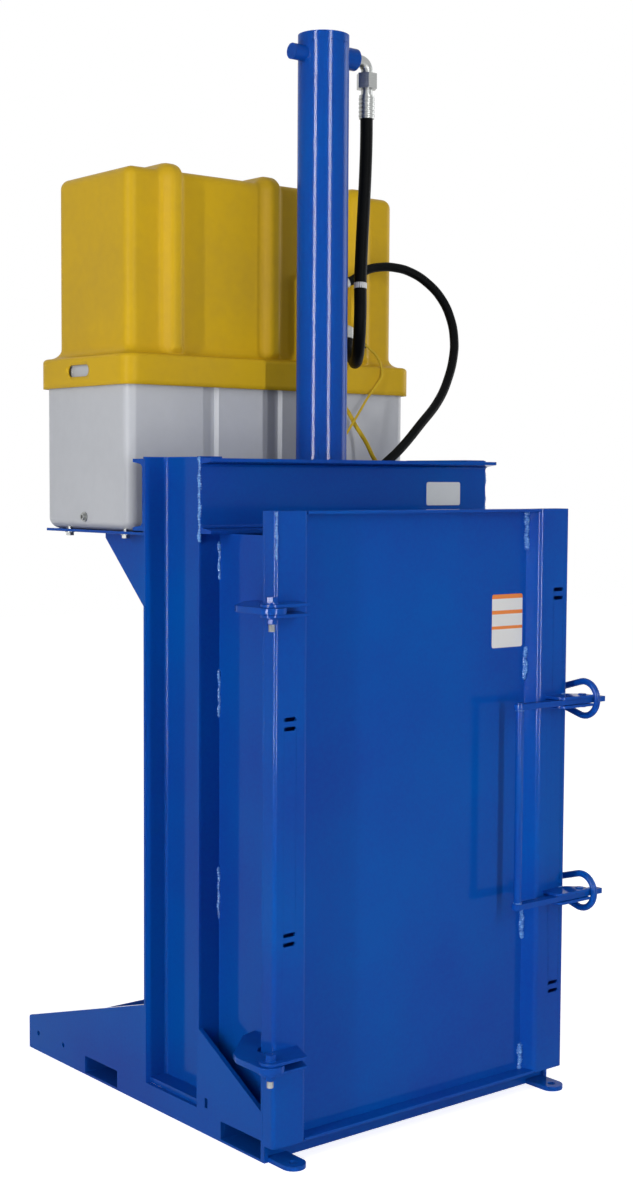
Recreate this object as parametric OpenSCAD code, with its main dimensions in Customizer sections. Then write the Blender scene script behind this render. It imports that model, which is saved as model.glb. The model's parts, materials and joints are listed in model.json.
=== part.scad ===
// Drum crusher: a steel press frame with a hinged and latched door, a hydraulic
// cylinder standing on its head, and a covered power unit on a rear shelf.
// Units are millimetres. The origin is on the floor under the ram axis.
// +X points right when facing the door, +Y points to the rear and +Z points up.

/* [Frame] */
// Width over the flange tips of the two columns
frame_w = 800; // [700:10:960]
// Height of the column tops above the floor
column_top = 1390; // [1330:5:1680]
// Depth of each column channel, front to back
column_depth = 203; // [190:1:230]
// Width of a column flange
column_flange = 57; // [50:1:70]
// Web thickness of a column
column_web = 6; // [5:0.5:10]
// Thickness of a column flange at its tip
flange_tip_t = 7; // [5:0.5:9]
// Thickness of a column flange where it meets the web
flange_root_t = 12; // [10:0.5:15]
// Thickness of the chamber side walls
wall_t = 6; // [4:0.5:8]
// How far the chamber walls reach in front of the ram axis
chamber_front = 325; // [312:1:380]
// How far the bent back wall reaches behind the ram axis
chamber_back = 315; // [306:1:335]
// Thickness of the bent back wall
back_wall_t = 5; // [4:0.5:6]

/* [Base] */
// Height of the bed that the drum stands on
bed_top = 60; // [58:1:80]
// Thickness of the bed plate
bed_t = 12; // [8:1:16]
// Thickness of the long base side plates
side_plate_t = 10; // [8:1:12]
// Rear end of the side plates behind the ram axis
base_rear = 590; // [540:5:700]
// Height of the side plates at the foot of the columns
side_plate_h = 215; // [180:5:260]
// Height of the side plates at the front end
side_front_h = 95; // [80:5:120]
// Height of the side plates at the rear end
side_rear_h = 87; // [84:1:120]
// Width of a fork tube, front to back
fork_tube_w = 144; // [120:2:150]
// Wall thickness of a fork tube
fork_tube_t = 5; // [4:0.5:6]
// Distance of each fork tube's middle from the ram axis, front one
fork_front_y = 246; // [240:1:250]
// Distance of each fork tube's middle from the ram axis, rear one
fork_rear_y = 275; // [270:1:290]
// Width of an anchor lug
lug_w = 50; // [40:1:60]
// Reach of an anchor lug in front of the bed
lug_reach = 80; // [70:1:100]
// Thickness of an anchor lug
lug_t = 10; // [8:1:12]
// Diameter of the hole in an anchor lug
lug_hole_d = 17; // [13:0.5:20]

/* [Head and shelf] */
// Height of the two head channels
head_h = 152; // [140:1:160]
// How far a head channel stands out from the columns
head_flange = 40.5; // [35:0.5:50]
// Web thickness of a head channel
head_web = 5; // [5:0.5:8]
// Thickness of the plate that carries the cylinder
head_plate_t = 25; // [20:1:30]
// Depth of the rear shelf behind the columns
shelf_depth = 398; // [394:1:430]
// Thickness of the rear shelf
shelf_t = 6; // [5:0.5:8]
// Height of the shelf gussets
gusset_h = 202; // [150:1:240]
// Length of the shelf gussets
gusset_l = 212; // [150:1:260]

/* [Door] */
// Height of the door's lower edge above the floor
door_z = 42; // [40:1:50]
// Height of the door
door_h = 1242; // [1180:1:1500]
// Thickness of the door panel
door_panel_t = 6; // [4:0.5:8]
// Gap between the chamber walls and the door panel
door_gap = 2; // [1:0.5:3]
// Depth of the folded door members, front to back
member_d = 34; // [28:1:40]
// Sheet thickness of the folded door members
member_t = 5; // [4:0.5:6]
// Width of the front face of the left member
member_left_w = 80; // [70:1:100]
// Width of the front face of the right member
member_right_w = 86; // [80:1:100]
// Height of the hinges above and below the middle of the door
hinge_half_span = 436; // [400:1:480]
// Radius of the hinge plate end round the pin
hinge_end_r = 28; // [24:1:30]
// Thickness of the hinge plate welded to the frame
hinge_plate_t = 12; // [10:1:14]
// Thickness of each door leaf
leaf_t = 6; // [5:1:8]

/* [Latch] */
// Height of the upper latch lever
latch_top_z = 865; // [800:5:900]
// Height of the lower latch lever
latch_low_z = 435; // [400:5:500]
// Width of a latch lever
lever_w = 24; // [18:1:26]
// Thickness of a latch lever
lever_t = 12; // [10:1:14]
// Distance from the latch pivot to the handle rod
handle_arm = 194; // [150:1:220]
// Distance from the latch pivot to the tip of the tongue
tongue_arm = 62; // [52:1:63]
// Diameter of the handle rod
rod_d = 16; // [12:1:20]
// Diameter of the keeper hoop's bar
hoop_bar_d = 15; // [12:1:16]
// Radius of the keeper hoop at the middle of its bar
hoop_r = 38; // [36:1:42]

/* [Cylinder and ram] */
// Outside diameter of the cylinder barrel
barrel_d = 112; // [108:1:130]
// Bore of the cylinder
bore_d = 100; // [90:1:100]
// Height of the cylinder above the column tops
barrel_rise = 912; // [860:2:1000]
// Diameter of the ram rod
ram_rod_d = 50; // [40:1:60]
// Length of the piston
piston_l = 50; // [40:1:60]
// Diameter of the platen
platen_d = 570; // [500:5:580]
// Thickness of the platen's plate
platen_t = 20; // [15:1:30]
// Underside of the raised platen above the bed
platen_clear = 915; // [900:5:940]

/* [Power unit] */
// Width of the tub
tub_w = 792; // [760:2:800]
// Depth of the tub, front to back
tub_d = 344; // [300:2:360]
// Gap between the columns and the front of the tub
tub_gap = 65.5; // [60:0.5:80]
// Wall thickness of the tub
tub_t = 5; // [4:0.5:7]
// Height of the tub up to its upper edge
tub_h = 381; // [360:1:420]
// Height of the cover's rim
rim_h = 67; // [60:1:90]
// Height of the cover's body above its shoulder
cover_h = 388; // [360:1:450]
// Width of the cover's body
cover_w = 754; // [720:2:770]
// Wall thickness of the cover
cover_t = 6; // [5:0.5:7]
// Width of a cover rib at its face
rib_w = 40; // [30:1:46]
// How far a cover rib stands out
rib_out = 26; // [16:1:30]

/* [Fasteners and hoses] */
// Thread diameter of the hinge and latch bolts
pin_d = 12; // [10:1:14]
// Outside diameter of the upper hose
upper_hose_d = 28; // [24:1:30]
// Outside diameter of the lower hose
lower_hose_d = 21; // [18:1:24]
// Diameter of the thin cord
thin_cord_d = 5.5; // [4:0.5:6]
// Diameter of the thick cord
thick_cord_d = 10; // [8:0.5:11]

/* [Hidden] */
$fn = 48;
function unit(v) = v / norm(v);

// Clearances
running_gap = 0.05;
seat_gap = 0.2;
pin_gap = 0.4;
plate_gap = 0.5;
lap = 0.5;

// Columns, walls and base
half_w = frame_w / 2;
half_d = column_depth / 2;
web_in = half_w - column_flange;
wall_out = web_in + wall_t;
head_z = column_top - 4 - head_h;
plate_in = half_w - side_plate_t;
tube_h = bed_top - bed_t;
bed_front = -(fork_front_y + fork_tube_w / 2);
bed_rear = fork_rear_y + fork_tube_w / 2;
fork_y = [-fork_front_y, fork_rear_y];
side_hole_d = 11;
lug_x = plate_in - lug_w / 2;
beam_w = 100;

// Shelf, tub and cover
shelf_top = head_z - 3;
shelf_under = shelf_top - shelf_t;
tub_front = half_d + tub_gap;
tub_mid = tub_front + tub_d / 2;
tub_rim = shelf_top + tub_h;
tub_r = 25;
tub_floor = 6;
groove_x = [-178, 0, 178];
groove_w = 44;
groove_in = 9;
drain_y = tub_mid + 2;
drain_z = shelf_top + 28;
bolt_x = half_w - 14;
bolt_y = [half_d + 89, half_d + 319];
rim_gap = 6;
rim_w = tub_w + 2 * (rim_gap + 4);
rim_d = tub_d + 2 * (rim_gap + 6);
cover_d = tub_d - 52;
shoulder_h = 13;
cover_front = tub_mid - cover_d / 2;
cover_r = 22;
rib_x = [-265, 3, 267];
pad_out = 11;
rib_over = 15;
pad_face = cover_front - pad_out;
rib_face = cover_front - rib_out;

// Cylinder and ram
plate_z = head_z + 6;
barrel_z = plate_z + head_plate_t;
barrel_top = column_top + barrel_rise;
cap_t = 18;
flange_t = 20;
flange_d = 180;
gland_h = 45;
port_low_z = barrel_z + 61;
port_top_z = barrel_top - 38;
stub_z = barrel_top - 45;
piston_z = barrel_top - cap_t - piston_l - 49;
platen_z = bed_top + platen_clear;
hub_d = 100;
hub_h = 60;
socket_depth = 40;
rod_foot = platen_z + platen_t + hub_h - socket_depth;
cross_pin_d = 16;
cross_pin_z = rod_foot + 20;
mount_bolts = 4;
mount_pcd = 146;
mount_d = 16;

// Door, hinges and latch
door_left = -half_w - 11;
door_right = half_w + 3;
panel_back = -chamber_front - door_gap;
panel_front = panel_back - door_panel_t;
door_face = panel_front - member_d;
door_mid_z = door_z + door_h / 2;
fold_in = 13;
fold_r = 12;
corner_r = 8;
slot_l = 30;
slot_h = 8;
slot_pitch = 18.5;
hinge_z = [door_mid_z - hinge_half_span, door_mid_z + hinge_half_span];
hinge_pin = [door_left - 40, door_face - 42];
latch_z = [latch_low_z, latch_top_z];
latch_pin = [door_right + 13, door_face - 33];
handle_x = latch_pin[0] - handle_arm;
head_af = 19;
washer_d = 25;
head_l = 13;
stud_l = 14;
hinge_stack = hinge_plate_t + 2 * (leaf_t + plate_gap);
latch_stack = lever_t + 2 * (leaf_t + plate_gap);
hoop_x = latch_pin[0] + 25.5;
hoop_y = latch_pin[1] + 17.5;
hoop_bend_r = 15;
keeper_t = 12;

// Fittings, each seat followed by the end that its hose or cord meets
elbow_x = barrel_d / 2 + 68;
ferrule_low = barrel_top - 161;
pad_port_a = [212, 82];
pad_port_b = [175, 178];
ferrule_a_dir = unit([-0.29, -0.41, -0.865]);
ferrule_b_dir = unit([0.92, -0.12, 0.38]);
ferrule_l = 32;
port_out = 14;
port_a = [pad_port_a[0], pad_face - port_out, tub_rim + pad_port_a[1]];
port_b = [pad_port_b[0], pad_face - port_out - 6, tub_rim + pad_port_b[1]];
hose_a_end = port_a + ferrule_l * ferrule_a_dir;
hose_b_start = port_b + ferrule_l * ferrule_b_dir;
low_leg_x = barrel_d / 2 + 56;
low_dir = [0.8, 0, 0.6];
low_leg_l = 55;
hose_b_end = [low_leg_x, 0, port_low_z] + low_leg_l * low_dir;
gland_l = 12;
thin_gland = [257, rib_face, tub_rim + 46];
thin_foot = [150, half_d + 21, head_z + head_h];
thick_gland = [182, tub_front + groove_in, tub_rim - 90];
switch_size = [40, 32, 55];
switch_at = [240, 30, barrel_z];
thick_foot = switch_at + [20, 16, 55];

// Power unit
unit_w = 480;
unit_d = 240;
unit_h = 230;
unit_x = 30;
unit_y = tub_mid;
unit_z = shelf_top + tub_floor;
lid_z = unit_z + unit_h;
lid_t = 8;
motor_x = -70;
pump_w = 90;
pump_l = 120;
block_size = [110, 70, 90];
block_y = unit_y - 30;
block_z = lid_z + lid_t;

// Route of the upper hose: down from the cylinder, round a hanging loop, up to the cover
upper_hose_route = [
    [elbow_x, 0, ferrule_low],
    [elbow_x, 0, ferrule_low - 40],
    [122, 0, 2030],
    [117, -1, 1950],
    [108, -5, 1852],
    [101, -10, 1782],
    [98, -14, 1722],
    [102, -8, 1684],
    [114, 9, 1649],
    [134, 37, 1621],
    [160, 75, 1611],
    [185, 110, 1619],
    hose_a_end + 24 * ferrule_a_dir,
    hose_a_end
];

// Route of the lower hose: out of the cover, over to the right, down behind the head
lower_hose_route = [
    hose_b_start,
    hose_b_start + 16 * ferrule_b_dir,
    [253, 150, 1832],
    [289, 141, 1842],
    [327, 131, 1843],
    [366, 120, 1835],
    [404, 102, 1811],
    [433, 81, 1772],
    [448, 65, 1724],
    [446, 51, 1677],
    [434, 40, 1637],
    [407, 30, 1580],
    [369, 20, 1530],
    [302, 10, 1471],
    [233, 3, 1413],
    hose_b_end + 24 * low_dir,
    hose_b_end
];

// Route of the thin cord: from a rib of the cover down to the rear head channel
thin_cord_route = [
    thin_gland + [0, -gland_l, 0],
    thin_gland + [0, -gland_l - 4, 0],
    [266, 148, 1650],
    [287, 149, 1636],
    [304, 149, 1609],
    [304, 148, 1591],
    [286, 147, 1565],
    [258, 143, 1538],
    [227, 136, 1504],
    [190, 127, 1465],
    [160, 123, 1428],
    thin_foot + [0, 0, gland_l + 10],
    thin_foot + [0, 0, gland_l]
];

// Route of the thick cord: from the tub down between the head channels
thick_cord_route = [
    thick_gland + [0, -gland_l, 0],
    thick_gland + [0, -gland_l - 8, 0],
    [196, 149, 1508],
    [206, 145, 1492],
    [213, 134, 1469],
    [219, 122, 1450],
    [222, 106, 1429],
    [224, 80, 1392],
    [237, 60, 1362],
    thick_foot + [0, 0, gland_l + 10],
    thick_foot + [0, 0, gland_l]
];

// A shape and its mirror image across the middle plane
module both_sides() {
    children();
    mirror([1, 0, 0]) children();
}

// Rectangle with round corners, centred on the origin
module rounded(w, d, r) {
    square([w - 2 * r, d], center = true);
    square([w, d - 2 * r], center = true);
    for (x = [-1, 1], y = [-1, 1]) {
        translate([x * (w / 2 - r), y * (d / 2 - r)]) circle(r);
    }
}

// Cylinder along X, starting at the given point
module bar_x(at, d, l) {
    translate(at) rotate([0, 90, 0]) cylinder(d = d, h = l);
}

// Cylinder along Y, starting at the given point
module bar_y(at, d, l) {
    translate(at) rotate([-90, 0, 0]) cylinder(d = d, h = l);
}

// Cylinder from a point along a unit direction
module bar_along(at, dir, d, l) {
    turn = atan2(dir[1], dir[0]);
    tilt = acos(dir[2] / norm(dir));
    translate(at) rotate([0, tilt, turn]) cylinder(d = d, h = l);
}

// Hexagonal prism with flats af apart
module hexagon(af, h) {
    cylinder(d = af / cos(30), h = h, $fn = 6);
}

// Point where a line from p touches a circle, on side s (1 or -1)
function touch(c, r, p, s) =
    let (v = p - c, a = atan2(v[1], v[0]) + s * acos(r / norm(v)))
    c + r * [cos(a), sin(a)];

// Channel section: web along Y from the origin, tapered flanges towards +X
module channel_section(depth, flange, web) {
    h = depth / 2;
    polygon([
        [0, -h], [flange, -h], [flange, -h + flange_tip_t], [web, -h + flange_root_t],
        [web, h - flange_root_t], [flange, h - flange_tip_t], [flange, h], [0, h]
    ]);
    for (s = [-1, 1]) {
        translate([web - lap, s * (h - flange_root_t + lap)]) scale([1, s]) channel_fillet();
    }
}

// Concave fillet between a web and a flange
module channel_fillet() {
    r = 9;
    difference() {
        translate([0, -r]) square(r);
        translate([r, -r]) circle(r);
    }
}

// ---- Base ----

// Outline of a side plate in the YZ plane, without its openings
module side_plate_outline() {
    nose = 8;
    polygon([
        [-chamber_front, 0], [base_rear, 0], [base_rear, side_rear_h - 2 * nose],
        [base_rear - nose, side_rear_h - nose], [half_d + nose, side_plate_h],
        [half_d, side_plate_h], [half_d, tube_h], [-half_d, tube_h],
        [-half_d, side_plate_h], [-chamber_front, side_front_h]
    ]);
    translate([base_rear - nose, side_rear_h - 2 * nose]) circle(nose);
}

module side_plate() {
    mouth = fork_tube_w - 2 * fork_tube_t;
    difference() {
        translate([plate_in, 0, 0]) rotate([90, 0, 90]) {
            linear_extrude(side_plate_t) side_plate_outline();
        }
        for (y = fork_y) {
            translate([plate_in - 1, y - mouth / 2, fork_tube_t]) {
                cube([side_plate_t + 2, mouth, tube_h - 2 * fork_tube_t]);
            }
        }
        for (y = [base_rear - 42, base_rear - 154]) {
            bar_x([plate_in - 1, y, 43], side_hole_d, side_plate_t + 2);
        }
        translate([plate_in - 1, -133, 56]) cube([side_plate_t + 2, 10, 20]);
    }
}

module side_plate_left() {
    color("royalblue") mirror([1, 0, 0]) side_plate();
}

module side_plate_right() {
    color("royalblue") side_plate();
}

// Rectangular tube across the base, open at both ends
module cross_tube(y, w) {
    color("royalblue") difference() {
        translate([-plate_in, y - w / 2, 0]) cube([2 * plate_in, w, tube_h]);
        translate([-plate_in - 1, y - w / 2 + fork_tube_t, fork_tube_t]) {
            cube([2 * plate_in + 2, w - 2 * fork_tube_t, tube_h - 2 * fork_tube_t]);
        }
    }
}

module fork_tube_front() {
    cross_tube(fork_y[0], fork_tube_w);
}

module fork_tube_rear() {
    cross_tube(fork_y[1], fork_tube_w);
}

module bed_beam() {
    cross_tube(0, beam_w);
}

// Floor plate of the chamber, with strips of the same plate outside the walls
module bed_plate() {
    color("royalblue") difference() {
        translate([-plate_in, bed_front, tube_h]) {
            cube([2 * plate_in, bed_rear - bed_front, bed_t]);
        }
        both_sides() {
            column();
            side_wall();
        }
        back_sheet();
    }
}

module rear_crossmember() {
    leg = 60;
    t = 6;
    y = base_rear - 16 - t;
    color("royalblue") {
        translate([-plate_in, y, 0]) cube([2 * plate_in, t, leg]);
        translate([-plate_in, y - leg + t, 0]) cube([2 * plate_in, leg, t]);
    }
}

module anchor_lugs() {
    end_y = bed_front - lug_reach + lug_w / 2;
    color("royalblue") both_sides() difference() {
        union() {
            translate([lug_x - lug_w / 2, end_y, 0]) cube([lug_w, bed_front - end_y, lug_t]);
            translate([lug_x, end_y, 0]) cylinder(d = lug_w, h = lug_t);
        }
        translate([lug_x, end_y, -1]) cylinder(d = lug_hole_d, h = lug_t + 2);
    }
}

// ---- Columns and chamber ----

module column() {
    translate([web_in, 0, tube_h]) linear_extrude(column_top - tube_h) {
        channel_section(column_depth, column_flange, column_web);
    }
}

module column_left() {
    color("royalblue") mirror([1, 0, 0]) column();
}

module column_right() {
    color("royalblue") column();
}

module side_wall() {
    translate([web_in, -chamber_front, tube_h]) {
        cube([wall_t, chamber_front - half_d, head_z - tube_h]);
    }
}

module side_wall_left() {
    color("royalblue") mirror([1, 0, 0]) side_wall();
}

module side_wall_right() {
    color("royalblue") side_wall();
}

// One sheet bent at two places behind the drum
module back_sheet() {
    side_x = web_in + 3;
    bend_x = side_x - 111;
    in_y = chamber_back - back_wall_t;
    in_x = side_x - back_wall_t * 1.13;
    in_bend = bend_x - back_wall_t * 0.61;
    translate([0, 0, tube_h]) linear_extrude(shelf_under - tube_h) {
        polygon([
            [-side_x, half_d], [-bend_x, chamber_back], [bend_x, chamber_back],
            [side_x, half_d], [in_x, half_d], [in_bend, in_y], [-in_bend, in_y], [-in_x, half_d]
        ]);
    }
}

module back_wall() {
    color("royalblue") back_sheet();
}

// ---- Head ----

module head_channel() {
    color("royalblue") translate([-half_w, half_d, head_z + head_h / 2]) {
        rotate([90, 0, 90]) linear_extrude(frame_w) {
            channel_section(head_h, head_flange, head_web);
        }
    }
}

module head_channel_rear() {
    head_channel();
}

module head_channel_front() {
    mirror([0, 1, 0]) head_channel();
}

// Points of the cylinder's mounting bolts
module at_mount_bolts() {
    for (i = [0 : mount_bolts - 1]) {
        rotate(45 + i * 360 / mount_bolts) translate([mount_pcd / 2, 0, 0]) children();
    }
}

module head_plate() {
    color("royalblue") difference() {
        translate([-web_in, -half_d, plate_z]) cube([2 * web_in, column_depth, head_plate_t]);
        translate([0, 0, plate_z - 1]) cylinder(d = ram_rod_d + 10, h = head_plate_t + 2);
        translate([0, 0, plate_z - 1]) at_mount_bolts() {
            cylinder(d = mount_d + 1, h = head_plate_t + 2);
        }
    }
}

module nameplate() {
    w = 102;
    h = 52;
    t = 1.5;
    corner = 5;
    at = [268, -half_d - head_web, head_z + 80];
    color("silver") translate(at) rotate([90, 0, 0]) {
        linear_extrude(t) rounded(w, h, corner);
        for (x = [-1, 1], y = [-1, 1]) {
            translate([x * (w / 2 - corner), y * (h / 2 - corner), 0]) cylinder(d = 5, h = t + 1);
        }
    }
}

// ---- Rear shelf ----

module at_shelf_bolts() {
    for (x = [-bolt_x, bolt_x], y = bolt_y) {
        translate([x, y, 0]) children();
    }
}

module shelf() {
    color("royalblue") difference() {
        translate([-half_w, half_d, shelf_under]) cube([frame_w, shelf_depth, shelf_t]);
        translate([0, 0, shelf_under - 1]) at_shelf_bolts() cylinder(d = 11, h = shelf_t + 2);
    }
}

module shelf_gussets() {
    t = 8;
    toe = 12;
    color("royalblue") both_sides() {
        translate([web_in + 9, half_d, shelf_under]) rotate([90, 0, 90]) linear_extrude(t) {
            polygon([[0, 0], [0, -gusset_h], [toe, -gusset_h], [gusset_l, -toe], [gusset_l, 0]]);
        }
    }
}

module shelf_bolts() {
    shank = shelf_t + tub_floor - 1;
    color("silver") translate([0, 0, shelf_under]) at_shelf_bolts() {
        cylinder(d = 10, h = shank);
        translate([0, 0, -2]) cylinder(d = 22, h = 2);
        translate([0, 0, -9]) hexagon(17, 7);
    }
}

// ---- Frame side of the hinges and latches ----

module hinge_plate_outline() {
    left = hinge_pin[0] - hinge_end_r;
    right = hinge_pin[0] + hinge_end_r;
    heel = -chamber_front + 7;
    polygon([
        [left, hinge_pin[1]], [right, hinge_pin[1]], [right, panel_back - 3],
        [right + 12, heel], [-wall_out, heel], [-wall_out, -225],
        [-wall_out - 37, -235], [left + 11, panel_back + 13], [left, panel_back - 12]
    ]);
    translate(hinge_pin) circle(hinge_end_r);
}

module hinge_plates() {
    color("royalblue") for (z = hinge_z) {
        translate([0, 0, z - hinge_plate_t / 2]) difference() {
            linear_extrude(hinge_plate_t) hinge_plate_outline();
            translate([hinge_pin[0], hinge_pin[1], -1]) {
                cylinder(d = pin_d + 2 * pin_gap, h = hinge_plate_t + 2);
            }
        }
    }
}

module keeper_plates() {
    reach = hoop_x + 9;
    color("royalblue") for (z = latch_z) {
        translate([0, 0, z - keeper_t / 2]) linear_extrude(keeper_t) {
            polygon([
                [wall_out, -chamber_front], [reach - 15, -chamber_front], [reach, 10 - chamber_front],
                [reach, -255], [reach - 40, -215], [wall_out, -215]
            ]);
        }
    }
}

// Points on an arc in the YZ plane, from one angle to another in equal steps
function arc_yz(y, z, r, from, to, steps) =
    [for (i = [0 : steps]) let (a = from + (to - from) * i / steps) [0, y + r * cos(a), z + r * sin(a)]];

function flipped(pts) = [for (i = [len(pts) - 1 : -1 : 0]) [pts[i][0], pts[i][1], -pts[i][2]]];

// Upper half of a hoop: along the keeper plate, out through a bend and round the ring
function hoop_half_route() =
    let (
        wrap = 106,
        turn = wrap - 90,
        leg_z = keeper_t / 2 + hoop_bar_d / 2 + seat_gap,
        end = [-hoop_r * cos(wrap), hoop_r * sin(wrap)],
        run = (end[1] - leg_z - hoop_bend_r * (1 - cos(turn))) / sin(turn),
        bend_y = end[0] + run * cos(turn) + hoop_bend_r * sin(turn)
    )
    concat(
        [[0, bend_y + 30, leg_z]],
        arc_yz(bend_y, leg_z + hoop_bend_r, hoop_bend_r, 270, 270 - turn, 3),
        arc_yz(0, 0, hoop_r, 180 - wrap, 180 - wrap / 11, 10)
    );

module keeper_hoops() {
    half = hoop_half_route();
    color("royalblue") for (z = latch_z) {
        translate([hoop_x, hoop_y, z]) {
            swept(concat(half, [[0, -hoop_r, 0]], flipped(half)), hoop_bar_d, 12);
        }
    }
}

// ---- Tub and cover ----

// Vertical grooves down the front and the back of the tub, widened by extra
module tub_grooves(extra) {
    half = groove_w / 2 + extra;
    deep = groove_in + extra;
    flat = half - 7;
    for (x = groove_x, s = [-1, 1]) {
        translate([x, tub_mid + s * tub_d / 2, shelf_top + 28 - extra]) scale([1, -s, 1]) {
            linear_extrude(tub_h) polygon([
                [-half, -1], [half, -1], [flat, deep], [-flat, deep]
            ]);
        }
    }
}

// Round-cornered box with a rounded lower edge
module tub_body(w, d, r, h) {
    hull() {
        for (x = [-1, 1], y = [-1, 1]) {
            translate([x * (w / 2 - r), y * (d / 2 - r), r]) sphere(r, $fn = 24);
        }
        translate([r - w / 2, r - d / 2, 0]) cube([w - 2 * r, d - 2 * r, 1]);
        translate([0, 0, h - 1]) linear_extrude(1) rounded(w, d, r, $fn = 24);
    }
}

module tub() {
    color("gainsboro") difference() {
        translate([0, tub_mid, shelf_top]) tub_body(tub_w, tub_d, tub_r, tub_h);
        tub_grooves(0);
        difference() {
            translate([0, tub_mid, shelf_top + tub_floor]) {
                tub_body(tub_w - 2 * tub_t, tub_d - 2 * tub_t, tub_r - tub_t, tub_h);
            }
            tub_grooves(tub_t);
        }
        bar_x([-tub_w / 2 - 1, drain_y, drain_z], 12, tub_t + 2);
        bar_y([thick_gland[0], tub_front - 1, thick_gland[2]], thick_cord_d, groove_in + tub_t + 2);
        translate([0, 0, shelf_top - 1]) at_shelf_bolts() cylinder(d = 10.5, h = tub_floor);
    }
}

module drain_plug() {
    socket = 8;
    color("silver") {
        bar_x([-tub_w / 2, drain_y, drain_z], 12 - 2 * seat_gap, tub_t + 4);
        bar_x([-tub_w / 2 - 3, drain_y, drain_z], 22, 3);
        translate([-tub_w / 2 - 8, drain_y, drain_z]) rotate([0, 90, 0]) difference() {
            cylinder(d = 15, h = 5);
            translate([0, 0, -1]) hexagon(socket, 5);
        }
    }
}

// Round-cornered block with a rounded upper edge, standing on its lower end
module domed_block(w, d, r, h) {
    hull() {
        linear_extrude(1) rounded(w, d, r, $fn = 16);
        for (x = [-1, 1], y = [-1, 1]) {
            translate([x * (w / 2 - r), y * (d / 2 - r), h - r]) sphere(r, $fn = 16);
        }
        translate([r - w / 2, r - d / 2, h - 1]) cube([w - 2 * r, d - 2 * r, 1]);
    }
}

// Band that runs up the front, over the top and down the back of the cover
module cover_ribs(shrink) {
    base = cover_d - 2 * shrink;
    peak = base + 2 * rib_out;
    for (x = rib_x) {
        translate([x, tub_mid, tub_rim]) hull() {
            rib_slice(base, rib_w + 24 - 2 * shrink, shoulder_h + cover_h - shrink);
            rib_slice(peak, rib_w - 2 * shrink, shoulder_h + cover_h + rib_over - shrink);
        }
    }
}

// One layer of a rib: an upright slab across the cover with rounded upper ends
module rib_slice(d, w, h) {
    r = 26;
    rotate([90, 0, 90]) translate([0, 0, -w / 2]) linear_extrude(w) {
        translate([-d / 2, 0]) square([d, h - r]);
        translate([-d / 2 + r, 0]) square([d - 2 * r, h]);
        for (s = [-1, 1]) {
            translate([s * (d / 2 - r), h - r]) circle(r, $fn = 16);
        }
    }
}

// One sloping course between the rim and the body, inset from start to end
module shoulder(z, h, start, end) {
    w = rim_w - 2 * start;
    d = rim_d - 2 * start;
    translate([0, 0, z]) {
        linear_extrude(h, scale = [(rim_w - 2 * end) / w, (rim_d - 2 * end) / d], slices = 1) {
            rounded(w, d, 30, $fn = 12);
        }
    }
}

module cover_outside() {
    translate([0, tub_mid, tub_rim]) {
        domed_block(cover_w, cover_d, cover_r, shoulder_h + cover_h);
        translate([0, 0, -rim_h]) linear_extrude(rim_h) rounded(rim_w, rim_d, 30);
        shoulder(0, 7, 0, 4);
        shoulder(7, 4, 4, 12);
        shoulder(11, 2, 12, 20);
    }
    cover_ribs(0);
    cover_pad(0);
}

// Raised field on the front where the hoses come out
module cover_pad(shrink) {
    pad_h = 203;
    translate([61 + shrink, cover_front - pad_out + shrink, tub_rim]) {
        cube([175 - 2 * shrink, pad_out + cover_r, pad_h - shrink]);
    }
}

module cover_inside() {
    translate([0, tub_mid, tub_rim - 1]) linear_extrude(shoulder_h + cover_h - cover_t + 1) {
        rounded(cover_w - 2 * cover_t, cover_d - 2 * cover_t, cover_r - cover_t);
    }
    translate([0, tub_mid, tub_rim - rim_h - 1]) linear_extrude(rim_h + 1) {
        rounded(rim_w - 8, rim_d - 8, 26);
    }
    cover_ribs(cover_t);
    cover_pad(cover_t);
}

module cover() {
    slot = [87, 26];
    color("gold") difference() {
        cover_outside();
        cover_inside();
        for (p = [port_a, port_b]) {
            bar_y([p[0], pad_face - 1, p[2]], 19, pad_out + cover_t + 2);
        }
        bar_y([thin_gland[0], rib_face - 1, thin_gland[2]], thin_cord_d + 4, cover_t + 2);
        translate([-rim_w / 2 - 1, tub_mid + 12, tub_rim - 32]) rotate([90, 0, 90]) {
            linear_extrude(6) rounded(slot[0], slot[1], slot[1] / 2 - 0.5);
        }
    }
}

// ---- Power unit under the cover ----

module reservoir() {
    t = 3;
    color("slategray") translate([unit_x, unit_y, unit_z]) difference() {
        linear_extrude(unit_h) rounded(unit_w, unit_d, 12);
        translate([0, 0, t]) linear_extrude(unit_h) rounded(unit_w - 2 * t, unit_d - 2 * t, 9);
    }
}

module reservoir_lid() {
    color("slategray") translate([unit_x, unit_y, lid_z]) {
        difference() {
            linear_extrude(lid_t) rounded(unit_w + 16, unit_d + 16, 16);
            translate([motor_x - unit_x, 0, -1]) cylinder(d = 60, h = lid_t + 2);
        }
        translate([190, 60, lid_t]) cylinder(d = 46, h = 50);
    }
}

module motor() {
    d = 180;
    body = 210;
    fins = 8;
    color("dimgray") translate([motor_x, unit_y, lid_z + lid_t]) {
        cylinder(d = d + 20, h = 16);
        cylinder(d = d - 16, h = body + 40);
        for (i = [0 : fins - 1]) {
            translate([0, 0, 34 + i * 24]) cylinder(d = d, h = 8);
        }
        translate([0, 0, body + 20]) cylinder(d = d, h = 60);
        translate([-50, d / 2 - 20, 60]) cube([100, 60, 90]);
    }
}

module pump() {
    color("dimgray") translate([motor_x, unit_y, lid_z]) {
        translate([0, 0, -20]) cylinder(d = pump_w + 30, h = 20);
        translate([-pump_w / 2, -pump_w / 2, -pump_l]) cube([pump_w, pump_w, pump_l - 10]);
        translate([0, 0, -pump_l - 60]) cylinder(d = 40, h = 70);
        translate([0, 0, -1]) cylinder(d = 50, h = lid_t + 1);
    }
}

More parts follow.
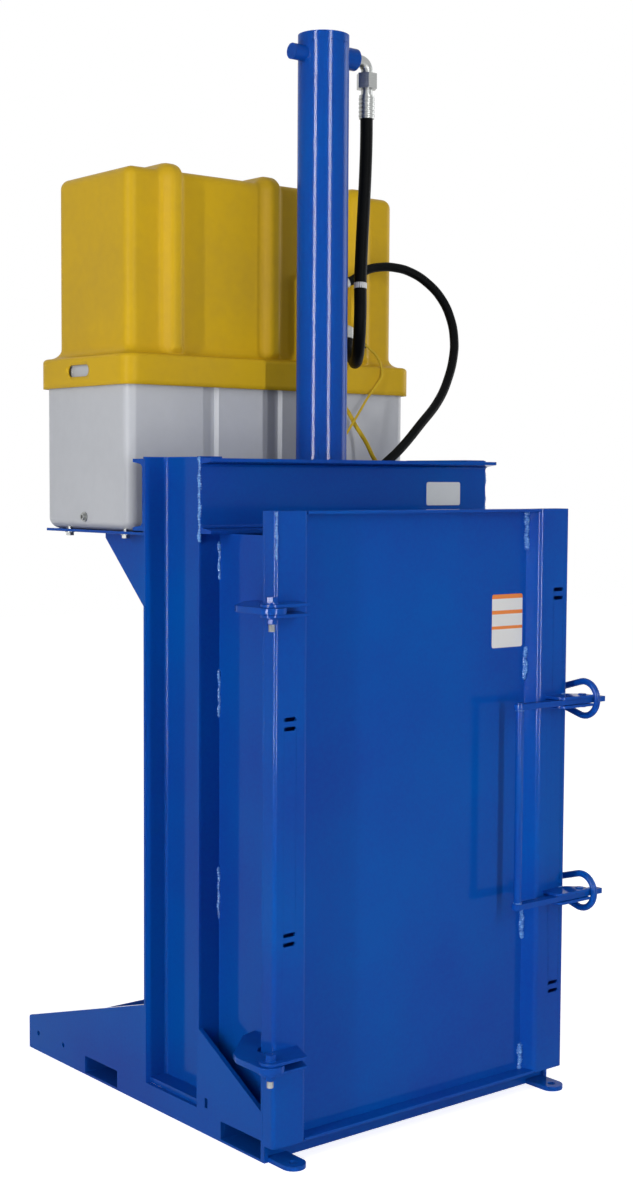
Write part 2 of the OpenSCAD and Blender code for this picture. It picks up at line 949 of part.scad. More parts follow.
module valve_block() {
    at = [(port_a[0] + port_b[0]) / 2 - block_size[0] / 2, block_y - block_size[1] / 2, block_z];
    color("silver") translate(at) {
        cube(block_size);
        for (x = [30, 80]) {
            translate([x, block_size[1] + 30, 40]) rotate([90, 0, 0]) cylinder(d = 34, h = 32);
        }
    }
}

// Rigid tube from the valve block up and forward to the back of a wall fitting
module inner_pipe(port, d, r) {
    start_z = block_z + block_size[2];
    back_y = port_back(port);
    translate([port[0], block_y, start_z]) cylinder(d = d, h = port[2] - r - start_z);
    translate([port[0], block_y - r, port[2] - r]) rotate([90, 0, 90]) {
        rotate_extrude(angle = 90) translate([r, 0]) circle(d = d);
    }
    bar_y([port[0], back_y, port[2]], d, block_y - r - back_y);
}

// Where the inner end of a wall fitting lies
function port_back(port) = pad_face + cover_t + 22;

module inner_pipes() {
    color("silver") {
        inner_pipe(port_a, 16, 32);
        inner_pipe(port_b, 14, 28);
    }
}

// ---- Cylinder ----

module cylinder_barrel() {
    length = barrel_top - cap_t - barrel_z;
    color("royalblue") difference() {
        translate([0, 0, barrel_z]) {
            cylinder(d = barrel_d, h = length, $fn = 96);
            cylinder(d = flange_d, h = flange_t);
        }
        translate([0, 0, barrel_z - 1]) cylinder(d = bore_d, h = length + 2, $fn = 96);
        translate([0, 0, barrel_z - 1]) at_mount_bolts() cylinder(d = mount_d + 1, h = flange_t + 2);
        for (z = [port_top_z, port_low_z]) {
            bar_x([0, 0, z], 16, barrel_d);
        }
    }
}

module cylinder_cap() {
    color("royalblue") translate([0, 0, barrel_top - cap_t]) {
        cylinder(d = barrel_d, h = cap_t, $fn = 96);
    }
}

module cylinder_gland() {
    color("silver") translate([0, 0, barrel_z]) difference() {
        cylinder(d = bore_d - 2 * seat_gap, h = gland_h);
        translate([0, 0, -1]) cylinder(d = ram_rod_d + 2 * running_gap, h = gland_h + 2);
    }
}

// Bolts that hold the cylinder flange to its plate, heads up
module mount_bolts_m16() {
    grip = flange_t + head_plate_t;
    color("silver") translate([0, 0, plate_z]) at_mount_bolts() {
        translate([0, 0, -24]) cylinder(d = mount_d, h = grip + 24);
        translate([0, 0, grip]) hexagon(24, 10);
        translate([0, 0, -14]) hexagon(24, 14);
    }
}

module port_bosses() {
    color("royalblue") difference() {
        union() {
            translate([-88, 0, stub_z]) rotate([0, 90, 0]) cylinder(d = 34, h = 60);
            bar_x([barrel_d / 4, 0, port_top_z], 48, barrel_d / 4 + 32);
            bar_x([barrel_d / 4, 0, port_low_z], 36, barrel_d / 4 + 28);
        }
        translate([0, 0, barrel_z]) {
            cylinder(d = barrel_d + 2 * seat_gap, h = barrel_top - barrel_z, $fn = 96);
        }
        for (z = [port_top_z, port_low_z]) {
            bar_x([barrel_d / 4, 0, z], 16, barrel_d);
        }
    }
}

module upper_elbow() {
    seat = barrel_d / 2 + 32;
    r = 20;
    color("silver") {
        bar_x([seat, 0, port_top_z], 30, 8);
        bar_x([seat, 0, port_top_z], 26, elbow_x - r - seat);
        translate([elbow_x - r, 0, port_top_z - r]) rotate([90, 0, 0]) {
            rotate_extrude(angle = 90) translate([r, 0]) circle(d = 26);
        }
        translate([elbow_x, 0, port_top_z - r - 6]) cylinder(d = 26, h = 6);
        translate([elbow_x, 0, port_top_z - r - 5 - 33]) hexagon(41, 33);
        translate([elbow_x, 0, ferrule_low + 50]) cylinder(d = 25, h = 16);
        translate([elbow_x, 0, ferrule_low]) cylinder(d = 33.5, h = 51);
    }
}

module lower_elbow() {
    seat = barrel_d / 2 + 28;
    at = [low_leg_x, 0, port_low_z];
    color("silver") {
        bar_x([seat, 0, port_low_z], 24, low_leg_x - seat);
        translate(at) sphere(d = 26);
        bar_along(at, low_dir, 20, low_leg_l - 28);
        bar_along(at + (low_leg_l - 30) * low_dir, low_dir, lower_hose_d + 5, 30);
    }
}

// Fitting in the cover wall: nut inside, hexagon outside, bent end towards the hose
module wall_fitting(port, dir, hose_d, af) {
    inside = pad_face + cover_t;
    bar_y(port, 18, port_back(port) - port[1]);
    translate([port[0], pad_face, port[2]]) rotate([90, 0, 0]) hexagon(af, 8);
    translate([port[0], inside + 10, port[2]]) rotate([90, 0, 0]) hexagon(af, 10);
    translate(port) sphere(d = 22);
    bar_along(port, dir, hose_d + 4, ferrule_l);
}

module bulkhead_fittings() {
    color("silver") {
        wall_fitting(port_a, ferrule_a_dir, upper_hose_d, 27);
        wall_fitting(port_b, ferrule_b_dir, lower_hose_d, 27);
    }
}

// ---- Wiring ----

module limit_switch() {
    color("dimgray") translate(switch_at) difference() {
        cube(switch_size);
        translate([3, -1, 8]) cube([34, 3, 40]);
    }
}

// Cable gland standing on a wall, its open end towards the cord
module cord_gland(d) {
    cylinder(d = d + 10, h = 5);
    cylinder(d = d + 6, h = gland_l);
}

module cord_glands() {
    color("dimgray") {
        translate(thin_gland) rotate([90, 0, 0]) cord_gland(thin_cord_d);
        translate(thin_foot) cord_gland(thin_cord_d);
        translate(thick_gland) rotate([90, 0, 0]) cord_gland(thick_cord_d);
        translate(thick_foot) cord_gland(thick_cord_d);
    }
}

// ---- Hoses and cords ----

function heading(pts, i) = unit(pts[min(i + 1, len(pts) - 1)] - pts[max(i - 1, 0)]);

// One side vector for each point of a route, turned as little as possible along it
function sides_of(pts, i, side) =
    i == len(pts) ? [] :
    let (t = heading(pts, i), s = unit(side - (side * t) * t))
    concat([s], sides_of(pts, i + 1, s));

// Round tube through the points of a route
module swept(pts, d, n) {
    t0 = heading(pts, 0);
    sides = sides_of(pts, 0, abs(t0[2]) > 0.9 ? [1, 0, 0] : [0, 0, 1]);
    last = len(pts) - 1;
    ring_points = [
        for (i = [0 : last], k = [0 : n - 1])
            let (a = 360 * k / n, s = sides[i])
            pts[i] + d / 2 * (cos(a) * s + sin(a) * cross(heading(pts, i), s))
    ];
    walls = [
        for (i = [0 : last - 1], k = [0 : n - 1], half = [0, 1])
            let (a = i * n, b = a + n, m = (k + 1) % n)
            half == 0 ? [a + k, b + k, a + m] : [a + m, b + k, b + m]
    ];
    start_cap = [for (k = [0 : n - 1]) k];
    end_cap = [for (k = [0 : n - 1]) last * n + n - 1 - k];
    polyhedron(ring_points, concat([start_cap], walls, [end_cap]));
}

module upper_hose() {
    color("black") swept(upper_hose_route, upper_hose_d, 10);
}

module lower_hose() {
    color("black") swept(lower_hose_route, lower_hose_d, 10);
}

module thin_cord() {
    color("gold") swept(thin_cord_route, thin_cord_d, 8);
}

module thick_cord() {
    color("gold") swept(thick_cord_route, thick_cord_d, 8);
}

// ---- Door ----

module door_panel() {
    color("royalblue") translate([door_left, panel_front, door_z]) {
        cube([door_right - door_left, door_panel_t, door_h]);
    }
}

// Outline of a folded member: outer edge at the origin, face w wide, open at the panel
module member_outline(w, d, fold, corner, bend) {
    tilt = atan2(d, fold);
    reach = bend * tan(tilt / 2);
    polygon([
        [0, 0], [0, -d + corner], [corner, -d + corner], [corner, -d],
        [w - reach, -d], [w - reach, -d + bend],
        [w + reach * cos(tilt), -d + reach * sin(tilt)], [w + fold, 0]
    ]);
    translate([corner, -d + corner]) circle(corner);
    translate([w - reach, -d + bend]) circle(bend);
}

module member_section(w) {
    tilt = atan2(member_d, fold_in);
    narrow = member_t + member_t / sin(tilt) - member_t / tan(tilt);
    inner_d = member_d - member_t;
    inner_fold = fold_in * inner_d / member_d;
    difference() {
        member_outline(w, member_d, fold_in, corner_r, fold_r);
        translate([member_t, 0]) {
            member_outline(w - narrow, inner_d, inner_fold, corner_r - member_t, fold_r - member_t);
            translate([0, -1]) square([w - narrow + inner_fold, 2]);
        }
    }
}

// Horizontal slots through a member's face, two at each height
module slot_pairs(x, heights) {
    for (z = heights, s = [-1, 1]) {
        translate([x, door_face - 1, z + s * slot_pitch / 2]) rotate([-90, 0, 0]) {
            linear_extrude(member_t + 2) rounded(slot_l, slot_h, slot_h / 2 - 0.5);
        }
    }
}

module door_member_left() {
    color("royalblue") difference() {
        translate([door_left, panel_front, door_z]) linear_extrude(door_h) {
            member_section(member_left_w);
        }
        slot_pairs(door_left + 38, [door_mid_z - 211, door_mid_z + 211]);
    }
}

module door_member_right() {
    color("royalblue") difference() {
        translate([door_right, panel_front, door_z]) linear_extrude(door_h) mirror([1, 0]) {
            member_section(member_right_w);
        }
        slot_pairs(door_right - 32, hinge_z);
    }
}

// Flat lips along the upper and lower edge of the panel, cut to the members' slopes
module door_lips() {
    left = door_left + member_left_w + fold_in + seat_gap;
    right = door_right - member_right_w - fold_in - seat_gap;
    t = 6;
    color("royalblue") for (z = [door_z, door_z + door_h - t]) {
        translate([0, panel_front, z]) linear_extrude(t) polygon([
            [left, 0], [left - fold_in, -member_d], [right + fold_in, -member_d], [right, 0]
        ]);
    }
}

module leaf_outline() {
    end_r = hinge_end_r - 6;
    corner = [door_left, door_face];
    nose_y = hinge_pin[1] - end_r;
    difference() {
        union() {
            polygon([
                corner, corner + [59, 0], corner + [47, -28], [door_left + 33, nose_y],
                [hinge_pin[0], nose_y], hinge_pin, touch(hinge_pin, end_r, corner, 1)
            ]);
            translate(hinge_pin) circle(end_r);
        }
        translate(hinge_pin) circle(d = pin_d + 2 * seat_gap);
    }
}

// Two plates, one above and one below something t thick in the middle
module plate_pair(z, t) {
    for (side = [0, 1]) {
        translate([0, 0, z + (side == 0 ? -t / 2 - plate_gap - leaf_t : t / 2 + plate_gap)]) {
            linear_extrude(leaf_t) children();
        }
    }
}

module door_leaves() {
    color("royalblue") for (z = hinge_z) {
        plate_pair(z, hinge_plate_t) leaf_outline();
    }
}

// Plate with one rounded front corner, reaching past the door's edge to the latch pin
module bracket_outline() {
    end_r = 17;
    left = door_right - 69;
    right = latch_pin[0] + end_r;
    front = latch_pin[1] - end_r;
    difference() {
        hull() {
            translate([left + end_r, latch_pin[1]]) circle(end_r);
            polygon([
                [left, door_face], [door_right, door_face], [right, front + 24], [right, front]
            ]);
        }
        translate(latch_pin) circle(d = pin_d + 2 * seat_gap);
    }
}

module latch_brackets() {
    color("royalblue") for (z = latch_z) {
        plate_pair(z, lever_t) bracket_outline();
    }
}

// Bolt through a stack, head up
module pin_bolt(stack) {
    translate([0, 0, -stack / 2 - head_l - stud_l]) cylinder(d = pin_d, h = stack + head_l + stud_l);
    translate([0, 0, stack / 2]) cylinder(d = washer_d, h = 3);
    translate([0, 0, stack / 2]) hexagon(head_af, head_l);
}

module pin_nut(stack) {
    translate([0, 0, -stack / 2 - head_l]) difference() {
        union() {
            hexagon(head_af, head_l);
            translate([0, 0, head_l - 3]) cylinder(d = washer_d, h = 3);
        }
        translate([0, 0, -1]) cylinder(d = pin_d + 2 * running_gap, h = head_l + 2);
    }
}

// Plain pin with a low round head at each end
module riveted_pin(stack) {
    head_h = 2.5;
    cylinder(d = pin_d, h = stack, center = true);
    for (s = [-1, 1]) {
        translate([0, 0, s * (stack + head_h) / 2]) {
            cylinder(d1 = pin_d + 6 + 2 * s, d2 = pin_d + 6 - 2 * s, h = head_h, center = true);
        }
    }
}

// Bolts of the two hinges and pins of the two latch levers
module door_bolts() {
    color("royalblue") {
        for (z = hinge_z) {
            translate([hinge_pin[0], hinge_pin[1], z]) pin_bolt(hinge_stack);
        }
        for (z = latch_z) {
            translate([latch_pin[0], latch_pin[1], z]) riveted_pin(latch_stack);
        }
    }
}

module door_nuts() {
    color("royalblue") for (z = hinge_z) {
        translate([hinge_pin[0], hinge_pin[1], z]) pin_nut(hinge_stack);
    }
}

// ---- Latch ----

module latch_levers() {
    color("royalblue") for (z = latch_z) {
        translate([latch_pin[0], latch_pin[1], z - lever_t / 2]) difference() {
            union() {
                translate([-handle_arm, -lever_w / 2, 0]) {
                    cube([handle_arm + tongue_arm, lever_w, lever_t]);
                }
                translate([-handle_arm, 0, 0]) cylinder(d = lever_w, h = lever_t);
            }
            translate([0, 0, -1]) cylinder(d = pin_d + 2 * pin_gap, h = lever_t + 2);
            translate([-handle_arm, 0, -1]) cylinder(d = rod_d + 2 * running_gap, h = lever_t + 2);
        }
    }
}

module latch_rod() {
    over = 3;
    low = latch_low_z - lever_t / 2 - over;
    color("royalblue") translate([handle_x, latch_pin[1], low]) {
        cylinder(d = rod_d, h = latch_top_z - latch_low_z + lever_t + 2 * over);
    }
}

// ---- Ram ----

module piston() {
    color("silver") translate([0, 0, piston_z]) difference() {
        cylinder(d = bore_d - 2 * running_gap, h = piston_l, $fn = 96);
        for (z = [10, piston_l - 18]) {
            translate([0, 0, z]) difference() {
                cylinder(d = bore_d + 2, h = 8);
                translate([0, 0, -1]) cylinder(d = bore_d - 10, h = 10);
            }
        }
        translate([0, 0, -1]) cylinder(d = ram_rod_d * 0.6 + 2 * seat_gap, h = piston_l + 2);
    }
}

module ram_rod() {
    spigot_d = ram_rod_d * 0.6;
    color("silver") difference() {
        union() {
            translate([0, 0, rod_foot]) cylinder(d = ram_rod_d, h = piston_z - rod_foot);
            translate([0, 0, piston_z]) cylinder(d = spigot_d, h = piston_l);
            translate([0, 0, piston_z + piston_l]) hexagon(ram_rod_d * 0.9, 18);
        }
        bar_x([-ram_rod_d, 0, cross_pin_z], cross_pin_d + 2 * running_gap, 2 * ram_rod_d);
    }
}

module platen() {
    rib_t = 12;
    rib_reach = platen_d / 2 - 30;
    color("royalblue") difference() {
        union() {
            translate([0, 0, platen_z]) cylinder(d = platen_d, h = platen_t, $fn = 96);
            translate([0, 0, platen_z + platen_t]) cylinder(d = hub_d, h = hub_h);
            for (i = [0 : 5]) {
                rotate(30 + i * 60) translate([0, rib_t / 2, platen_z + platen_t]) rotate([90, 0, 0]) {
                    linear_extrude(rib_t) polygon([
                        [0, 0], [rib_reach, 0], [rib_reach, 8], [hub_d / 2, hub_h - 8], [0, hub_h - 8]
                    ]);
                }
            }
        }
        translate([0, 0, rod_foot]) cylinder(d = ram_rod_d + 2 * seat_gap, h = hub_h);
        bar_x([-hub_d, 0, cross_pin_z], cross_pin_d + 2 * running_gap, 2 * hub_d);
    }
}

module cross_pin() {
    color("silver") bar_x([-hub_d / 2 - 6, 0, cross_pin_z], cross_pin_d, hub_d + 12);
}

// ---- Nodes ----

side_plate_left();
side_plate_right();
fork_tube_front();
fork_tube_rear();
bed_beam();
bed_plate();
rear_crossmember();
anchor_lugs();
column_left();
column_right();
side_wall_left();
side_wall_right();
back_wall();
head_channel_front();
head_channel_rear();
head_plate();
nameplate();
shelf();
shelf_gussets();
shelf_bolts();
hinge_plates();
keeper_plates();
keeper_hoops();
tub();
drain_plug();
cover();
reservoir();
reservoir_lid();
motor();
pump();
valve_block();
inner_pipes();
cylinder_barrel();
cylinder_cap();
cylinder_gland();
mount_bolts_m16();
port_bosses();
upper_elbow();
lower_elbow();
bulkhead_fittings();
limit_switch();
cord_glands();
upper_hose();
lower_hose();
thin_cord();
thick_cord();
door_panel();
door_member_left();
door_member_right();
door_lips();
door_leaves();
latch_brackets();
door_bolts();
door_nuts();
latch_levers();
latch_rod();
piston();
ram_rod();
platen();
cross_pin();
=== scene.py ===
"""Hydraulic drum crusher: finishes, cover, hoses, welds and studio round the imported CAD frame."""

import json
import math

import bmesh
import bpy
from bpy.props import FloatProperty, FloatVectorProperty, PointerProperty
from mathutils import Matrix, Vector


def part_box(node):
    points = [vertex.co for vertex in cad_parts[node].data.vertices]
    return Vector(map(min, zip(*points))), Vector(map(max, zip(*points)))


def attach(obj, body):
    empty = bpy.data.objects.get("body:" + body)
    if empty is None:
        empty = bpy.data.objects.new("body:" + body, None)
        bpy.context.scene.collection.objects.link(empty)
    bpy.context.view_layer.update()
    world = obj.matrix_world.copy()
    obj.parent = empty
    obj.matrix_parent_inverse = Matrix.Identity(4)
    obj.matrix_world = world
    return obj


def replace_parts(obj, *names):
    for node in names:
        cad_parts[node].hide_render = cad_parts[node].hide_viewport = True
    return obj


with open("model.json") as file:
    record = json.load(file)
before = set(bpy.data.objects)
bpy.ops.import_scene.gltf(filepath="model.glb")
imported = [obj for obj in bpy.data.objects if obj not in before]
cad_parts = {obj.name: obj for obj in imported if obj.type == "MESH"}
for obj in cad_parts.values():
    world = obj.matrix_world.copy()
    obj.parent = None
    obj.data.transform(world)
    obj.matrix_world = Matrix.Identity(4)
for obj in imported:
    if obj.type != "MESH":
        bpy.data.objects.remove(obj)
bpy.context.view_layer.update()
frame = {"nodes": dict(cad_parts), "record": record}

bl_info = {
    "name": "Drum Crusher",
    "version": (1, 0, 0),
    "blender": (4, 5, 0),
    "location": "View3D > Sidebar > Drum Crusher",
    "description": "Builds the finishes and soft parts of a hydraulic drum crusher",
    "category": "Object",
}

MM = 0.001

COVER_LOW, COVER_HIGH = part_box("cover")
PANEL_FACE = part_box("door_panel")[0][1]

# ---- Properties -------------------------------------------------------------


def colour(name, description, value):
    return FloatVectorProperty(
        name=name, description=description, subtype="COLOR", size=3, min=0, max=1, default=value
    )


def distance(name, description, value):
    return FloatProperty(name=name, description=description, unit="LENGTH", default=value, min=0)


def power(name, description, value):
    return FloatProperty(name=name, description=description, unit="POWER", default=value, min=0)


class FinishSettings(bpy.types.PropertyGroup):
    paint: colour("Frame paint", "Powder coat of the steelwork", (0.0015, 0.08, 0.395))
    paint_deep: colour("Paint shade", "Deeper tone that drifts over the paint", (0.007, 0.052, 0.335))
    skin: colour("Cover plastic", "Moulded skin of the power unit cover", (0.62, 0.39, 0.012))
    skin_deep: colour("Cover shade", "Duller tone that drifts over the cover", (0.53, 0.335, 0.022))
    tub: colour("Tub plastic", "Natural plastic of the tub", (0.5, 0.515, 0.55))
    steel: colour("Plated steel", "Zinc plated fittings and bolts", (0.42, 0.43, 0.42))
    rubber: colour("Hose rubber", "Cover of the hydraulic hoses", (0.004, 0.0045, 0.005))
    label_bar: colour("Label bars", "Bars of colour on the door label", (0.75, 0.2, 0.02))


class CoverSettings(bpy.types.PropertyGroup):
    edge_round: distance("Edge radius", "Radius of the cover's upper edges and corners", 22 * MM)
    rim_round: distance("Rim radius", "Radius of the rim's corners", 30 * MM)
    rib_rise: distance("Rib depth", "How far a rib stands out from the cover", 26 * MM)
    rib_face: distance("Rib face", "Width of a rib's face", 16 * MM)
    rib_flank: distance("Rib flank", "Width of each sloping flank of a rib", 25 * MM)
    wall: distance("Wall", "Thickness of the moulded wall", 4 * MM)


class CordSettings(bpy.types.PropertyGroup):
    upper_hose: distance("Upper hose", "Outside diameter of the hose to the top port", 28 * MM)
    lower_hose: distance("Lower hose", "Outside diameter of the hose to the low port", 21 * MM)
    thin_cord: distance("Thin cord", "Diameter of the thin cord", 5.5 * MM)
    thick_cord: distance("Thick cord", "Diameter of the thick cord", 10 * MM)


class StudioSettings(bpy.types.PropertyGroup):
    lens: FloatProperty(name="Lens", description="Focal length", default=52.95, min=1)
    fill: FloatProperty(name="Fill", description="Strength of the plain fill light", default=0.3, min=0)
    strip: power("Strips", "Power of the left strip softbox, the right one being weaker", 130)
    sheen: power("Sheen", "Power of the left softbox that only shows in the paint's gloss", 1300)
    side: power("Side", "Power of the broad softbox on the right", 70)
    floor_size: distance("Floor", "Side of the square floor", 24)


# ---- Node helpers -----------------------------------------------------------


class Tree:
    """Short calls for building one node tree."""

    def __init__(self, tree):
        self.tree = tree
        self.nodes = tree.nodes
        self.links = tree.links

    def add(self, kind, **settings):
        node = self.nodes.new(kind)
        for key, value in settings.items():
            setattr(node, key, value)
        return node

    def join(self, source, target):
        self.links.new(source, target)

    def feed(self, target, value):
        """Links value into target if it is a socket, or sets it as the default."""
        if isinstance(value, bpy.types.NodeSocket):
            self.join(value, target)
        else:
            target.default_value = value

    def math(self, operation, a, b=0.0, clamp=False):
        node = self.add("ShaderNodeMath", operation=operation, use_clamp=clamp)
        self.feed(node.inputs[0], a)
        self.feed(node.inputs[1], b)
        return node.outputs[0]

    def remap(self, value, low, high, to_low, to_high):
        node = self.add("ShaderNodeMapRange")
        self.feed(node.inputs["Value"], value)
        ends = {"From Min": low, "From Max": high, "To Min": to_low, "To Max": to_high}
        for name, number in ends.items():
            self.feed(node.inputs[name], number)
        return node.outputs["Result"]

    def blend(self, factor, a, b):
        node = self.add("ShaderNodeMix", data_type="RGBA")
        self.feed(node.inputs["Factor"], factor)
        self.feed(node.inputs["A"], a)
        self.feed(node.inputs["B"], b)
        return node.outputs["Result"]

    def place(self):
        return self.add("ShaderNodeTexCoord").outputs["Object"]

    def noise(self, vector, scale, detail=2.0, rough=0.5):
        node = self.add("ShaderNodeTexNoise")
        self.feed(node.inputs["Vector"], vector)
        self.feed(node.inputs["Scale"], scale)
        node.inputs["Detail"].default_value = detail
        node.inputs["Roughness"].default_value = rough
        return node.outputs["Fac"]

    def stretch(self, vector, scale):
        node = self.add("ShaderNodeMapping")
        self.feed(node.inputs["Vector"], vector)
        node.inputs["Scale"].default_value = scale
        return node.outputs["Vector"]


COLOUR, NUMBER = "NodeSocketColor", "NodeSocketFloat"
LIGHT_TONE, DARK_TONE = (COLOUR, "Tone", (0.5, 0.5, 0.5, 1)), (COLOUR, "Shade", (0.3, 0.3, 0.3, 1))


def new_group(name, inputs, outputs):
    """An empty shader node group with named sockets, each (kind, name, default)."""
    group = bpy.data.node_groups.new(name, "ShaderNodeTree")
    for kind, label, default in inputs:
        socket = group.interface.new_socket(name=label, in_out="INPUT", socket_type=kind)
        socket.default_value = default
    for kind, label in outputs:
        group.interface.new_socket(name=label, in_out="OUTPUT", socket_type=kind)
    tree = Tree(group)
    return tree, tree.add("NodeGroupInput").outputs, tree.add("NodeGroupOutput").inputs


def tone_drift_group():
    """Two tones of one finish that drift into each other in soft clouds."""
    tree, given, out = new_group(
        "Tone Drift",
        [LIGHT_TONE, DARK_TONE, (NUMBER, "Cloud", 3.0), (NUMBER, "Grain", 60.0)],
        [(COLOUR, "Color")],
    )
    place = tree.place()
    cloud = tree.remap(tree.noise(place, given["Cloud"], 3), 0.35, 0.65, 0, 0.8)
    grain = tree.remap(tree.noise(place, given["Grain"], 2), 0.3, 0.7, -0.15, 0.15)
    mask = tree.math("ADD", cloud, grain, clamp=True)
    tree.join(tree.blend(mask, given["Tone"], given["Shade"]), out["Color"])
    return tree.tree


def surface_grain_group():
    """Height of a fine pebbled skin with a slower ripple under it, and a matching gloss."""
    tree, given, out = new_group(
        "Surface Grain",
        [
            (NUMBER, "Pebble", 700.0), (NUMBER, "Ripple", 90.0),
            (NUMBER, "Gloss", 0.3), (NUMBER, "Spread", 0.08),
        ],
        [(NUMBER, "Height"), (NUMBER, "Roughness")],
    )
    place = tree.place()
    pebble = tree.noise(place, given["Pebble"], 1)
    ripple = tree.noise(place, given["Ripple"], 2)
    height = tree.math("ADD", tree.math("MULTIPLY", pebble, 0.35), ripple)
    tree.join(height, out["Height"])
    smear = tree.math("SUBTRACT", tree.noise(place, 7.0, 4, 0.6), 0.5)
    offset = tree.math("MULTIPLY", smear, given["Spread"])
    tree.join(tree.math("ADD", given["Gloss"], offset, clamp=True), out["Roughness"])
    return tree.tree


def cloth_imprint_group():
    """Height of a wrapped cloth's diagonal weave, on top of another height."""
    tree, given, out = new_group(
        "Cloth Imprint",
        [(NUMBER, "Weave", 700.0), (NUMBER, "Under", 0.0)],
        [(NUMBER, "Height")],
    )
    wave = tree.add("ShaderNodeTexWave", wave_type="BANDS", bands_direction="DIAGONAL")
    tree.join(tree.place(), wave.inputs["Vector"])
    tree.join(given["Weave"], wave.inputs["Scale"])
    wave.inputs["Distortion"].default_value = 1.2
    tree.join(tree.math("ADD", wave.outputs["Fac"], given["Under"]), out["Height"])
    return tree.tree


def tool_lines_group():
    """Fine turning or drawing lines along one axis, as a colour, a height and a roughness."""
    tree, given, out = new_group(
        "Tool Lines",
        [
            LIGHT_TONE, DARK_TONE,
            (NUMBER, "Gloss", 0.35), (NUMBER, "Spread", 0.2), (NUMBER, "Fineness", 1.0),
        ],
        [(COLOUR, "Color"), (NUMBER, "Height"), (NUMBER, "Roughness")],
    )
    scaled = tree.add("ShaderNodeVectorMath", operation="SCALE")
    tree.join(tree.stretch(tree.place(), (60, 60, 900)), scaled.inputs[0])
    tree.join(given["Fineness"], scaled.inputs["Scale"])
    lines = tree.noise(scaled.outputs[0], 1.0, 3, 0.7)
    tree.join(lines, out["Height"])
    mask = tree.remap(lines, 0.3, 0.7, 0, 1)
    tree.join(tree.blend(mask, given["Tone"], given["Shade"]), out["Color"])
    offset = tree.math("MULTIPLY", tree.math("SUBTRACT", lines, 0.5), given["Spread"])
    tree.join(tree.math("ADD", given["Gloss"], offset, clamp=True), out["Roughness"])
    return tree.tree


def rgba(value):
    return (*value, 1.0)


class Finish:
    """One material with a Principled shader and the shared effect groups."""

    def __init__(self, name, **constants):
        self.material = bpy.data.materials.new(f"{name} finish")
        self.material.use_nodes = True
        self.tree = Tree(self.material.node_tree)
        self.shader = self.tree.nodes["Principled BSDF"]
        for key, value in constants.items():
            self.shader.inputs[key.replace("_", " ")].default_value = value

    def group(self, name, **values):
        node = self.tree.add("ShaderNodeGroup", node_tree=bpy.data.node_groups[name])
        for key, value in values.items():
            self.tree.feed(node.inputs[key], value)
        return node.outputs

    def base(self, socket):
        self.tree.join(socket, self.shader.inputs["Base Color"])

    def drift(self, tone, shade, cloud, grain):
        """Base colour that drifts between two tones."""
        drift = self.group("Tone Drift", Tone=rgba(tone), Shade=rgba(shade), Cloud=cloud, Grain=grain)
        self.base(drift["Color"])

    def rough(self, socket):
        self.tree.join(socket, self.shader.inputs["Roughness"])

    def bump(self, height, strength, depth):
        node = self.tree.add("ShaderNodeBump")
        node.inputs["Strength"].default_value = strength
        node.inputs["Distance"].default_value = depth
        self.tree.join(height, node.inputs["Height"])
        self.tree.join(node.outputs["Normal"], self.shader.inputs["Normal"])


# ---- Materials --------------------------------------------------------------


def painted(name, tone, shade, gloss):
    made = Finish(name, Specular_IOR_Level=0.05)
    made.drift(tone, shade, 2.5, 140.0)
    skin = made.group("Surface Grain", Pebble=900.0, Ripple=160.0, Gloss=gloss, Spread=0.12)
    made.rough(skin["Roughness"])
    made.bump(skin["Height"], 0.04, 0.0006)
    return made.material


def weld_paint(tone):
    """Paint over a weld: the same colour with lighter blue spots that are painted glints, uneven and glossy
    enough to glint.
    """
    made = Finish("weld_paint", Specular_IOR_Level=0.6)
    # The lighter blue spots drifted in here are painted glints, not a colour of the paint
    made.drift(tone, (0.1, 0.32, 0.7), 130.0, 420.0)
    skin = made.group("Surface Grain", Pebble=620.0, Ripple=300.0, Gloss=0.16, Spread=0.1)
    made.rough(skin["Roughness"])
    made.bump(skin["Height"], 0.8, 0.0012)
    return made.material


def moulded(name, tone, shade, gloss, specular=0.15, depth=0.0008):
    made = Finish(name, Specular_IOR_Level=specular)
    made.drift(tone, shade, 3.2, 45.0)
    skin = made.group("Surface Grain", Pebble=420.0, Ripple=28.0, Gloss=gloss, Spread=0.1)
    made.rough(skin["Roughness"])
    made.bump(skin["Height"], 0.2, depth)
    return made.material


def worked_metal(name, tone, shade, gloss, fineness=1.0):
    made = Finish(name, Metallic=1.0)
    lines = made.group(
        "Tool Lines", Tone=rgba(tone), Shade=rgba(shade), Gloss=gloss, Spread=0.22, Fineness=fineness
    )
    made.base(lines["Color"])
    made.rough(lines["Roughness"])
    made.bump(lines["Height"], 0.15, 0.0003)
    return made.material


def rubber(name, tone, shade, gloss, weave):
    """Rubber with the faint imprint of the cloth that it was wrapped in."""
    made = Finish(name, Specular_IOR_Level=0.03)
    made.drift(tone, shade, 9.0, 160.0)
    skin = made.group("Surface Grain", Pebble=800.0, Ripple=220.0, Gloss=gloss, Spread=0.15)
    made.rough(skin["Roughness"])
    cloth = made.group("Cloth Imprint", Weave=weave, Under=skin["Height"])
    made.bump(cloth["Height"], 0.2, 0.0004)
    return made.material


LABEL_LEFT, LABEL_RIGHT = 202 * MM, 294 * MM
LABEL_LOW, LABEL_HIGH = 985.5 * MM, 1100.5 * MM


